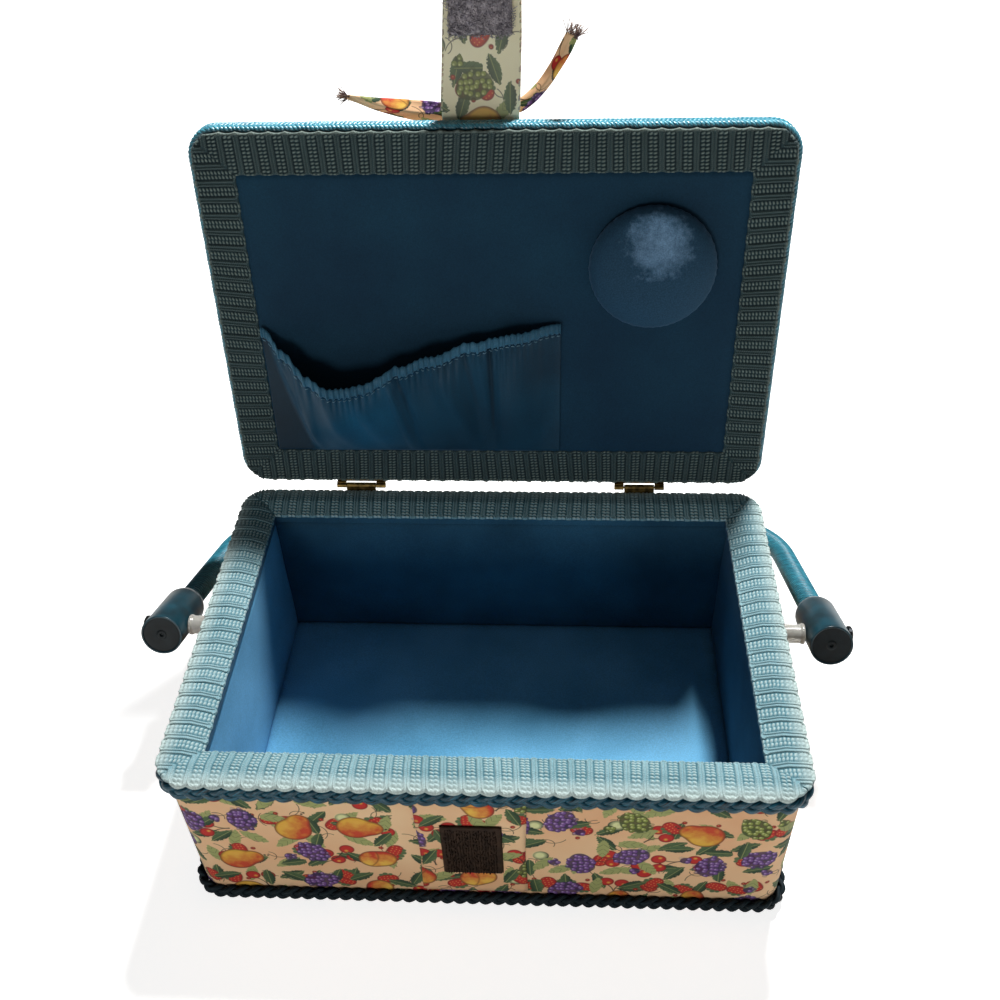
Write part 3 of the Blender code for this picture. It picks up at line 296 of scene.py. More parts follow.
def printSmallFruit(tree, below, place, shift):
    spot, kind = motifCell(tree, place, printLook["smallCell"], shift, 0.45,
                           printLook["smallGrow"])[:2]
    # Pairs of cherries on thin stems
    cherries = between(tree, kind, *printLook["cherries"])
    room = roundSpot(tree, spot, (0, 2.0), 3.4)
    stems = thinCurves(tree, spot, (((-5.6, 4.0), 5.7), ((7.6, 4.6), 7.4)), 0.2, room)
    below = inkOver(tree, below, ink["stem"], stems, cherries)
    pair = addNode(tree, "Math", [
        roundSpot(tree, spot, (-2.5, -1.6), 2.5), roundSpot(tree, spot, (2.6, -2.6), 2.5)],
        operation="MINIMUM")
    below = rimmed(tree, below, ink["berryDark"], ink["berryRed"], pair, cherries, 0.45, 0.4)[0]
    shine = addNode(tree, "Math", [
        roundSpot(tree, spot, (-3.1, -0.9), 0.5), roundSpot(tree, spot, (1.9, -1.9), 0.5)],
        operation="MINIMUM")
    below = inkOver(tree, below, ink["peachYellow"], shine, cherries, edge=0.35, strength=0.8)
    # Strawberries, with seeds and a green cap
    straw = between(tree, kind, *printLook["strawberries"])
    body = blobOf(tree, spot, [((-1.2, 1.4), 2.5), ((1.3, 1.3), 2.5), ((0, -3.4), 0.8)], 2.6)
    below, inner = rimmed(tree, below, ink["berryDark"], ink["berryRed"], body, straw, 0.5, 0.5)
    seedGap = addNode(
        tree, "TexVoronoi", {"Vector": spot, "Scale": 1 / printLook["seedCell"],
                             "Randomness": 0.25}, out="Distance", voronoi_dimensions="2D")
    seeds = addNode(tree, "Math", [seedGap, 0.17], operation="SUBTRACT")
    seeds = addNode(tree, "Math", [seeds, inner], operation="MAXIMUM")
    below = inkOver(tree, below, ink["seed"], seeds, straw, edge=0.1, strength=0.6)
    cap = blobOf(tree, spot, [((-1.6, 4.0), 0.7), ((0, 4.4), 0.9), ((1.7, 3.9), 0.7)], 0.9)
    below = inkOver(tree, below, ink["leafMid"], cap, straw)
    # Single green berries
    green = between(tree, kind, *printLook["greenBerries"])
    berry = roundSpot(tree, spot, (0.5, 0), 2.6)
    below = inkOver(tree, below, ink["leafDark"], berry, green)
    inner = roundSpot(tree, spot, (0.2, 0.3), 2.0)
    return inkOver(tree, below, ink["greenLight"], inner, green, edge=0.8)


def printBigFruit(tree, below, place, shift):
    spot, kind = motifCell(tree, place, printLook["mainCell"], shift, 0.34,
                           printLook["mainGrow"])[:2]
    # Pears
    pears = between(tree, kind, *printLook["pears"])
    outline = blobOf(tree, spot, [((0, -2.4), 6.4), ((0.6, 3.6), 3.8)], 4.0)
    stalk = blobOf(tree, spot, [((0.9, 8.1), 0.45), ((1.4, 9.2), 0.4)], 0.6)
    below = inkOver(tree, below, ink["stem"], stalk, pears)
    fruit = shaded(tree, spot, True, ink["pearYellow"], ink["pearRed"], 3.0, 7.0)
    below = rimmed(tree, below, ink["fruitEdge"], fruit, outline, pears, 0.55, 0.5)[0]
    shine = roundSpot(tree, spot, (-2.6, -1.4), 1.7)
    below = inkOver(tree, below, ink["peachYellow"], shine, pears, edge=1.4, strength=0.7)
    # Peaches
    peaches = between(tree, kind, *printLook["peaches"])
    outline = blobOf(tree, spot, [((-1.5, 0), 5.2), ((1.9, 0.4), 5.0)], 2.0)
    fruit = shaded(tree, spot, False, ink["peachYellow"], ink["peachRed"], 3.5, 31.0)
    below, inner = rimmed(tree, below, ink["fruitEdge"], fruit, outline, peaches, 0.55, 0.5)
    crease = thinCurves(tree, spot, [((-8.0, 1.5), 8.3)], 0.2, inner)
    below = inkOver(tree, below, ink["fruitEdge"], crease, peaches, edge=0.3, strength=0.75)
    # Bunches of purple and of green grapes: whole beads wherever a bead's centre is in the bunch
    beadCell = printLook["beadCell"]
    beadCentre = addNode(
        tree, "TexVoronoi", {"Vector": place, "Scale": 1 / beadCell, "Randomness": 0.62},
        out="Position", voronoi_dimensions="2D")
    centreSpot, centreKind = motifCell(
        tree, beadCentre, printLook["mainCell"], shift, 0.34, printLook["mainGrow"])[:2]
    bunchSpots = [((0, 3.4), 5.0), ((3.0, 4.4), 3.4), ((-3.4, 2.6), 3.0), ((0.6, -5.8), 1.9)]
    bunch = blobOf(tree, centreSpot, bunchSpots, 2.6)
    bead = addNode(tree, "VectorMath", [place, beadCentre], operation="SUBTRACT")
    ball = roundSpot(tree, bead, (0, 0), 0.53 * beadCell)
    ball = addNode(tree, "Math", [ball, bunch], operation="MAXIMUM")
    inBall = addNode(tree, "Math", [ball, 0.3], operation="ADD")
    shine = roundSpot(tree, bead, (-0.14 * beadCell, 0.16 * beadCell), 0.14 * beadCell)
    shine = addNode(tree, "Math", [shine, bunch], operation="MAXIMUM")
    behind = blobOf(tree, spot, bunchSpots, 2.6)
    for name, dark, middle, light in (
            ("grapes", "grapeDark", "grape", "grapeLight"),
            ("greenGrapes", "greenDark", "greenGrape", "greenLight")):
        here = between(tree, kind, *printLook[name])
        there = between(tree, centreKind, *printLook[name])
        below = inkOver(tree, below, ink[dark], behind, here, strength=0.9)
        below = inkOver(tree, below, ink[dark], ball, there)
        below = inkOver(tree, below, ink[middle], inBall, there, edge=0.3)
        below = inkOver(tree, below, ink[light], shine, there, edge=0.3, strength=0.8)
    return below


def printedCotton(name, ground, groundWarm, paintedLightWash):
    made = newMaterial(name)
    tree = made.node_tree
    place = workPlace(tree)
    fade = addNode(tree, "TexNoise", {"Vector": place, "Scale": 0.02, "Detail": 3.0})
    fade = addNode(tree, "MapRange", [fade, 0.35, 0.7, 0.0, 1.0])
    cloth = addNode(tree, "Mix", [fade, paint(ground), paint(groundWarm)], out=2, data_type="RGBA")
    for layer, shift in ((printTendrils, (3.0, 5.0)), (printLeaves, (0.0, 0.0)),
                         (printSmallFruit, (2.0, 11.0)), (printSmallFruit, (83.0, 140.0)),
                         (printLeaves, (57.3, 91.1)), (printBigFruit, (9.0, 23.0))):
        cloth = layer(tree, cloth, place, shift)
    # Painted light: a wash of pale ink over the whole print
    cloth = addNode(tree, "Mix", [paintedLightWash, cloth, ink["paintedLightInk"]], out=2, data_type="RGBA")
    # Threads 0.35 mm apart are drawn 0.6 mm apart, so that the weave shows
    waves = []
    for side in addNode(tree, "SeparateXYZ", [place], out=(0, 1)):
        angle = addNode(tree, "Math", [side, turn / printLook["threadGap"]], operation="MULTIPLY")
        waves.append(addNode(tree, "Math", [angle], operation="SINE"))
    weave = addNode(tree, "Math", waves, operation="MULTIPLY")
    lightness = addNode(tree, "MapRange", [weave, -1.0, 1.0, 0.94, 1.04])
    cloth = addNode(tree, "VectorMath", [cloth, lightness], operation="SCALE")
    return closeFinish(made, cloth, weave, 0.25, 0.1, Roughness=0.8, Sheen_Weight=0.15,
                       Sheen_Roughness=0.4, Specular_IOR_Level=0.3)


# Gimp braid of cotton and rayon yarn: soft matt ribs, seafoam where they are palest

def gimpBraid(name, shade, deep, faded, edge):
    made = newMaterial(name)
    tree = made.node_tree
    place = objectPlaceMm(tree)
    patches = addNode(tree, "TexNoise", {"Vector": place, "Scale": 0.035, "Detail": 4.0})
    patches = addNode(tree, "MapRange", [patches, 0.35, 0.68, 0.0, 1.0])
    yarn = addNode(tree, "Mix", [patches, paint(deep), paint(faded)], out=2, data_type="RGBA")
    # Painted light: paler on the tops of the stitches, a painted highlight, and darker in the hollows,
    # painted shade; paler also towards the outer edge
    nearEdge, raised = addNode(tree, "SeparateXYZ", [workPlace(tree)], out=(0, 2))
    paintedShade = addNode(tree, "MapRange", [raised, 0.1, 0.5, 1.0, 0.0])
    yarn = addNode(tree, "Mix", [paintedShade, yarn, paint(shade)], out=2, data_type="RGBA")
    # painted highlight on the tops of the stitches
    brighter = addNode(tree, "MapRange", [raised, 0.5, 1.0, 0.0, 0.7])
    lighter = addNode(tree, "MapRange", [nearEdge, 0.2, 1.0, 0.0, 0.9])
    brighter = addNode(tree, "Math", [brighter, lighter], operation="MAXIMUM")
    yarn = addNode(tree, "Mix", [brighter, yarn, paint(edge)], out=2, data_type="RGBA")
    # Yarn hairs about 0.2 mm apart, drawn at 0.5 mm
    hairs = addNode(tree, "TexNoise", {"Vector": place, "Scale": 2.0, "Detail": 2.0})
    lightness = addNode(tree, "MapRange", [hairs, 0.3, 0.7, 0.8, 1.2])
    yarn = addNode(tree, "VectorMath", [yarn, lightness], operation="SCALE")
    return closeFinish(made, yarn, hairs, 0.5, 0.2, Roughness=0.75, Sheen_Weight=0.25,
                       Sheen_Roughness=0.35, Specular_IOR_Level=0.35)


# Rayon satin cord: long shiny filaments laid along each strand, so highlights run across it

def satinCord(name, deep, bright, roughness, gloss=0.7):
    made = newMaterial(name)
    tree = made.node_tree
    place = workPlace(tree)
    along, around, strand = addNode(tree, "SeparateXYZ", [place], out=(0, 1, 2))
    # Filaments lie at a slant; real ones are 0.02 mm, drawn 0.3 mm wide
    slant = addNode(tree, "Math", [along, 0.45, around], operation="MULTIPLY_ADD")
    lines = addNode(tree, "CombineXYZ", [
        addNode(tree, "Math", [along, 0.12], operation="MULTIPLY"),
        addNode(tree, "Math", [slant, 3.0], operation="MULTIPLY"), strand])
    fibre = addNode(tree, "TexNoise", {"Vector": lines, "Scale": 1.0, "Detail": 2.0})
    share = addNode(tree, "MapRange", [fibre, 0.35, 0.7, 0.0, 1.0])
    colour = addNode(tree, "Mix", [share, paint(deep), paint(bright)], out=2, data_type="RGBA")
    # Painted shade: a strand is drawn darker round its sides, where it dips between its neighbours, and a
    # little brighter on its top
    strandShade = addNode(tree, "MapRange", [around, 1.0, 2.6, 0.25, 1.15])
    colour = addNode(tree, "VectorMath", [colour, strandShade], operation="SCALE")
    return closeFinish(made, colour, fibre, 0.6, 0.2, Roughness=roughness,
                       Sheen_Weight=gloss / 4, Sheen_Roughness=0.3, Specular_IOR_Level=gloss,
                       Anisotropic=0.5)


# Brushed nylon lining: a short soft nap that scatters light, in clouds of two near colours

def nappedLining(name, deep, lighter, shine, roughness=0.85):
    made = newMaterial(name)
    tree = made.node_tree
    place = objectPlaceMm(tree)
    clouds = addNode(tree, "TexNoise", {"Vector": place, "Scale": 0.018, "Detail": 3.0})
    clouds = addNode(tree, "MapRange", [clouds, 0.35, 0.7, 0.0, 1.0])
    nap = addNode(tree, "TexNoise", {"Vector": place, "Scale": 1.6, "Detail": 3.0})
    grain = addNode(tree, "MapRange", [nap, 0.35, 0.65, 0.88, 1.12])
    colour = addNode(tree, "Mix", [clouds, paint(deep), paint(lighter)], out=2, data_type="RGBA")
    # Painted shade: darker where a piece marks its hollows, to match the light in the photo
    paintedShade = addNode(tree, "SeparateXYZ", [workPlace(tree)], out=2)
    paintedShade = addNode(tree, "MapRange", [paintedShade, 0.0, 1.0, 1.0, 0.2])
    grain = addNode(tree, "Math", [grain, paintedShade], operation="MULTIPLY")
    colour = addNode(tree, "VectorMath", [colour, grain], operation="SCALE")
    return closeFinish(made, colour, nap, 0.35, 0.15, Roughness=roughness, Sheen_Weight=shine,
                       Sheen_Roughness=0.5, Sheen_Tint=paint("#9CC4E8"),
                       Specular_IOR_Level=0.25)


# Cotton velvet: a deep pile, with a painted patch of light round one place

def velvetWithPaintedLight(spot):
    made = newMaterial("pincushion velvet")
    tree = made.node_tree
    place = objectPlaceMm(tree)
    lightDistance = addNode(tree, "VectorMath", [place, tuple(spot / mm)], out="Value", operation="DISTANCE")
    patchy = addNode(tree, "TexNoise", {"Vector": place, "Scale": 0.22, "Detail": 5.0,
                                        "Roughness": 0.7})
    patchy = addNode(tree, "MapRange", [patchy, 0.3, 0.7, -5.0, 5.0])
    lightDistance = addNode(tree, "Math", [lightDistance, patchy], operation="ADD")
    # Painted light: a pale patch round the spot
    brighter = addNode(tree, "MapRange", [lightDistance, 0.0, 16.0, 0.75, 0.0])
    pile = addNode(tree, "TexNoise", {"Vector": place, "Scale": 1.8, "Detail": 3.0})
    grain = addNode(tree, "MapRange", [pile, 0.35, 0.65, 0.8, 1.2])
    colour = addNode(tree, "Mix", [brighter, paint("#24475F"), paint("#8CB4D8")], out=2,
                     data_type="RGBA")
    colour = addNode(tree, "VectorMath", [colour, grain], operation="SCALE")
    return closeFinish(made, colour, pile, 0.4, 0.2, Roughness=0.8, Sheen_Weight=0.35,
                       Sheen_Roughness=0.4, Sheen_Tint=paint("#8FB4D8"),
                       Specular_IOR_Level=0.25)


# A plain finish with an even mottle and a fine grain: plastics, metals, board, tape and paper

def grainedFinish(name, first, second, cloudMm, grainMm, depthMm, **sockets):
    made = newMaterial(name)
    tree = made.node_tree
    place = objectPlaceMm(tree)
    clouds = addNode(tree, "TexNoise", {"Vector": place, "Scale": 1 / cloudMm, "Detail": 3.0})
    clouds = addNode(tree, "MapRange", [clouds, 0.35, 0.65, 0.0, 1.0])
    colour = addNode(tree, "Mix", [clouds, paint(first), paint(second)], out=2, data_type="RGBA")
    grain = addNode(tree, "TexNoise", {"Vector": place, "Scale": 1 / grainMm, "Detail": 2.0})
    return closeFinish(made, colour, grain, 0.4, depthMm, **sockets)


cotton = printedCotton("printed cotton, plain weave", "#F3CDA0", "#E9B487", 0.0)
# The same cloth with painted light for the strap: paler colours, and a wash of pale ink over the print
strapCotton = printedCotton("printed cotton, paler", "#FBF2CC", "#F8ECC0", 0.14)
# Two copies of one braid: the rim's in its lit colours, and the lid's in darker ones, painted shade
gimp = gimpBraid("gimp braid, pale", "#40707C", "#7CA6B0", "#94BAC2", "#CEDCD6")
lidGimp = gimpBraid("gimp braid, dark", "#14262A", "#32484B", "#3C5356", "#94A298")
gripCord = satinCord("rayon satin cord, grip", "#16505F", "#3F9CB2", 0.4, 0.6)
edgeCord = satinCord("rayon satin cord, teal", "#1B6A82", "#6CC2D4", 0.3, 0.9)
rimTwist = satinCord("rayon satin cord, dark teal", "#081C24", "#23667C", 0.38, 0.4)
footCord = satinCord("rayon cord, navy", "#101A20", "#26343A", 0.6, 0.15)
lining = nappedLining("brushed nylon lining", "#5A9EC4", "#76BCE4", 0.15)
# The same cloth in darker colours, for the walls that are in shade in the photo, and the lid
wallLining = nappedLining("brushed nylon lining, darker", "#23495E", "#366680", 0.12)
lidLining = nappedLining("brushed nylon lid lining", "#12344A", "#184056", 0.12)
# Drawn smoother than the lining, so its folds catch the light. The pocket's darker colours are painted
# shade, as in the lid's lining, and the casing's paler ones painted light
pocketCloth = nappedLining("brushed nylon pocket", "#0E4560", "#186486", 0.3, 0.5)
casingCloth = nappedLining("brushed nylon pocket, paler", "#2A566C", "#467C96", 0.35, 0.5)
# Polyester thread, paler than the cloth it sews
seamThread = grainedFinish("polyester thread", "#7FA4B4", "#5E8496", 3.0, 0.4, 0.03,
                           Roughness=0.6)
# Nylon hook tape: stiff dark hooks that show as a rough, dull nap
hookTape = grainedFinish("nylon hook tape", "#281B12", "#3B2A1E", 4.0, 0.5, 0.1, Roughness=0.7,
                         Specular_IOR_Level=0.2)
# Nylon loop tape: a grey, fluffy pile
loopTape = grainedFinish("nylon loop tape", "#7E7880", "#C0B8BC", 1.6, 0.5, 0.1, Roughness=0.9)
# Stamped brass: a dull shine with brown patches
brass = grainedFinish("stamped brass", "#A88A50", "#5A4A2C", 3.0, 0.6, 0.03,
                      Metallic=1.0, Roughness=0.45)
# Black oxide on steel: dark, with a low shine
darkSteel = grainedFinish("black oxide steel", "#3A3D40", "#2A2C2E", 3.0, 0.5, 0.02,
                          Metallic=1.0, Roughness=0.4)
# Moulded ABS, dark teal: a soft shine over a fine uneven grain
capPlastic = grainedFinish("moulded ABS, teal", "#0A2C36", "#124250", 9.0, 0.7, 0.02,
                           Roughness=0.34, Coat_Weight=0.15, Coat_Roughness=0.2)
capFace = grainedFinish("moulded ABS, cut end", "#0B1518", "#121F24", 5.0, 0.5, 0.04,
                        Roughness=0.5, Specular_IOR_Level=0.3)
# Clear PVC tube, a little milky
clearTube = grainedFinish("clear PVC tube", "#E4E2DA", "#D2CFC6", 4.0, 0.8, 0.02,
                          Roughness=0.22, Transmission_Weight=0.55, IOR=1.53)
hardboard = grainedFinish("hardboard", "#7A5A3C", "#6A4C32", 6.0, 0.6, 0.08, Roughness=0.85)
backing = grainedFinish("embossed backing paper", "#141820", "#1E232C", 7.0, 1.0, 0.12,
                        Roughness=0.75)
corePlastic = grainedFinish("polypropylene rod", "#5C5850", "#4C4840", 8.0, 0.8, 0.03,
                            Roughness=0.5)
frayThread = grainedFinish("cut cotton threads", "#9A7A66", "#463640", 2.0, 0.4, 0.05,
                           Roughness=0.9)
print("materials made:", len(bpy.data.materials))


# Meshes from rows of points

def gridShape(points, places=None, roundRows=False, roundCols=False, capped=False):
    rows, cols = points.shape[:2]
    index = np.arange(rows * cols).reshape(rows, cols)
    below = np.roll(index, -1, 0)
    beside = np.roll(index, -1, 1)
    across = np.roll(below, -1, 1)
    faces = np.stack([index, beside, across, below], -1)
    faces = faces[:rows if roundRows else rows - 1, :cols if roundCols else cols - 1]
    faces = faces.reshape(-1, 4).tolist()
    if capped:
        faces += [index[0][::-1].tolist(), index[-1].tolist()]
    if places is None:
        places = np.zeros((rows, cols, 3))
    return points.reshape(-1, 3), faces, places.reshape(-1, 3)


def meshOf(name, shapes, shift=asBuilt):
    points = np.concatenate([shape[0] for shape in shapes])
    places = np.concatenate([shape[2] for shape in shapes])
    faces = []
    start = 0
    for shape in shapes:
        faces += [[corner + start for corner in face] for face in shape[1]]
        start += len(shape[0])
    mesh = bpy.data.meshes.new(name)
    mesh.from_pydata(shift(points).tolist(), [], faces)
    mark = mesh.attributes.new("workPlace", "FLOAT_VECTOR", "POINT")
    mark.data.foreach_set("vector", np.ascontiguousarray(places, np.float32).ravel())
    mesh.shade_smooth()
    return mesh


def addPiece(name, mesh, finish, body, slot, *nodes):
    piece = bpy.data.objects.new(name.replace(" ", "-"), mesh)
    bpy.context.scene.collection.objects.link(piece)
    mesh.materials.append(finish)
    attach(piece, body)
    if nodes:
        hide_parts(*nodes)
    return piece


def facesOut(mesh):  # makes a closed mesh face outwards
    shape = bmesh.new()
    shape.from_mesh(mesh)
    bmesh.ops.recalc_face_normals(shape, faces=shape.faces)
    shape.to_mesh(mesh)
    shape.free()
    return mesh


def thicken(piece, thickness, offset=-1.0):
    step = piece.modifiers.new("cloth thickness", "SOLIDIFY")
    step.thickness = thickness
    step.offset = offset
    return piece


def unit(vectors):
    return vectors / np.maximum(np.linalg.norm(vectors, axis=-1, keepdims=True), 1e-9)


def ripple(x, y, size, seed):
    # A soft uneven surface out of a few crossing waves; x, y and size in the same unit
    draw = np.random.default_rng(seed)
    total = np.zeros(np.broadcast(x, y).shape)
    for wave in range(7):
        angle = draw.uniform(0, turn)
        phase = draw.uniform(0, turn)
        length = size * draw.uniform(0.7, 1.7)
        total += np.sin((x * np.cos(angle) + y * np.sin(angle)) * turn / length + phase)
    return total / 3.0


def sweep(path, facing, radius, sides, closed=False, strand=0.0):
    # A round strand along a path; radius is one number, or rows x sides
    ahead = np.roll(path, -1, 0) - np.roll(path, 1, 0)
    if not closed:
        ahead[0] = path[1] - path[0]
        ahead[-1] = path[-1] - path[-2]
    ahead = unit(ahead)
    out = unit(facing - ahead * (facing * ahead).sum(-1, keepdims=True))
    side = np.cross(ahead, out)
    around = turn * np.arange(sides) / sides
    radius = np.broadcast_to(radius, (len(path), sides))[..., None]
    points = path[:, None] + radius * (
        np.cos(around)[None, :, None] * out[:, None] + np.sin(around)[None, :, None] * side[:, None])
    steps = np.linalg.norm(np.diff(path, axis=0), axis=1)
    along = np.concatenate([[0], np.cumsum(steps)]) / mm
    places = np.zeros(points.shape)
    places[..., 0] = along[:, None]
    places[..., 1] = np.abs(around - math.pi)[None] * radius.mean() / mm
    places[..., 2] = strand * 7.3
    return gridShape(points, places, roundRows=closed, roundCols=True, capped=not closed)


def plied(rows, sides, spacing, radius, lay, plies=2, depth=0.14, start=0.0):
    # The radius of a twisted yarn: its plies turn once for every lay of length
    along = np.arange(rows)[:, None] * spacing
    around = turn * np.arange(sides)[None] / sides
    return radius * (1 - depth + depth * np.cos(plies * (around - turn * along / lay) + start))


def smoothLine(points, steps):
    # A curve through all the points
    points = np.asarray(points, float)
    before = np.concatenate([2 * points[:1] - points[1:2], points[:-1]])
    after = np.concatenate([points[1:], 2 * points[-1:] - points[-2:-1]])
    slope = (after - before) / 2
    share = (np.arange(steps) / steps)[None, :, None]
    first, last = points[:-1, None], points[1:, None]
    curve = ((2 * share ** 3 - 3 * share ** 2 + 1) * first + (share ** 3 - 2 * share ** 2 + share)
             * slope[:-1, None] + (3 * share ** 2 - 2 * share ** 3) * last
             + (share ** 3 - share ** 2) * slope[1:, None])
    return np.concatenate([curve.reshape(-1, points.shape[1]), points[-1:]])


def evenly(path, spacing, closed=False):
    # The same line with points an even distance apart
    if closed:
        path = np.concatenate([path, path[:1]])
    steps = np.linalg.norm(np.diff(path, axis=0), axis=1)
    along = np.concatenate([[0], np.cumsum(steps)])
    count = max(int(round(along[-1] / spacing)), 3)
    wanted = np.linspace(0, along[-1], count + 1)
    if closed:
        wanted = wanted[:-1]
    return np.stack([np.interp(wanted, along, path[:, axis]) for axis in range(path.shape[1])], -1)


def roundedRing(halfX, halfY, radius, spacing):
    # Even points round a rounded rectangle, from the middle of the back, with outward directions
    arc = np.linspace(0, math.pi / 2, 16)
    loop = [(0.0, halfY)]
    for quarter, (sideX, sideY) in enumerate(((-1, 1), (-1, -1), (1, -1), (1, 1))):
        angle = math.pi / 2 * (quarter + 1) + arc
        centre = (sideX * (halfX - radius), sideY * (halfY - radius))
        loop += [(centre[0] + radius * math.cos(a), centre[1] + radius * math.sin(a)) for a in angle]
    line = evenly(np.array(loop), spacing, closed=True)
    ahead = unit(np.roll(line, -1, 0) - np.roll(line, 1, 0))
    out = np.stack([ahead[:, 1], -ahead[:, 0]], -1)
    return line, out


def weld(mesh, distance=0.02 * mm):
    shape = bmesh.new()
    shape.from_mesh(mesh)
    bmesh.ops.remove_doubles(shape, verts=shape.verts, dist=distance)
    bmesh.ops.recalc_face_normals(shape, faces=shape.faces)
    shape.to_mesh(mesh)
    shape.free()
    return mesh


def edgeRound(inside, width):  # 0 at an edge, rising on a quarter round to 1
    share = np.clip(inside / width, 0, 1)
    return np.sqrt(1 - (1 - share) ** 2)


# Gimp braid: blocks of two knitted columns, framed by one twisted yarn that runs up and down

gimpLook = {
    "pitch": 7.3 * mm, "columnGap": 1.95 * mm, "rowGap": 1.6 * mm, "thickness": 1.7 * mm,
    "body": 0.75 * mm, "stitch": 0.8 * mm, "scallop": 0.7 * mm, "inner": 0.35 * mm,
    "yarn": 0.6 * mm, "yarnLay": 1.7 * mm, "yarnStep": 0.36 * mm, "plyDepth": 0.2,
    "cornerRound": 12 * mm, "along": 20, "across": 76, "lean": 0.05, "rimFlat": 9 * mm,
    "overhang": 1.6 * mm, "overhangFrom": 6 * mm, "droop": 1.7 * mm, "droopFrom": 3.5 * mm,
    "rimPaleReach": 8 * mm, "lidPaleReach": 2.4 * mm,
}


def sidePlace(side, along, inward):  # a place on one side of the frame of braid, seen from above
    if side == "front":
        return along, inward - halfDepth
    if side == "back":
        return -along, halfDepth - inward
    if side == "left":
        return inward - halfWidth, -along
    return halfWidth - inward, along


def rimSurface(inward, height):  # drooping at the outer edge, then level, then falling inwards
    flat = gimpLook["rimFlat"]
    fall = (rimHigh[2] - gimpLook["thickness"] - rimLow[2]) / (rimStripWidth - flat)
    droop = gimpLook["droop"] * np.clip(1 - inward / gimpLook["droopFrom"], 0, 1) ** 2
    return rimTop - gimpLook["thickness"] + height - droop - np.maximum(inward - flat, 0) * fall


def lidSurface(inward, height):
    return lidFace + gimpLook["thickness"] - height + 0 * inward


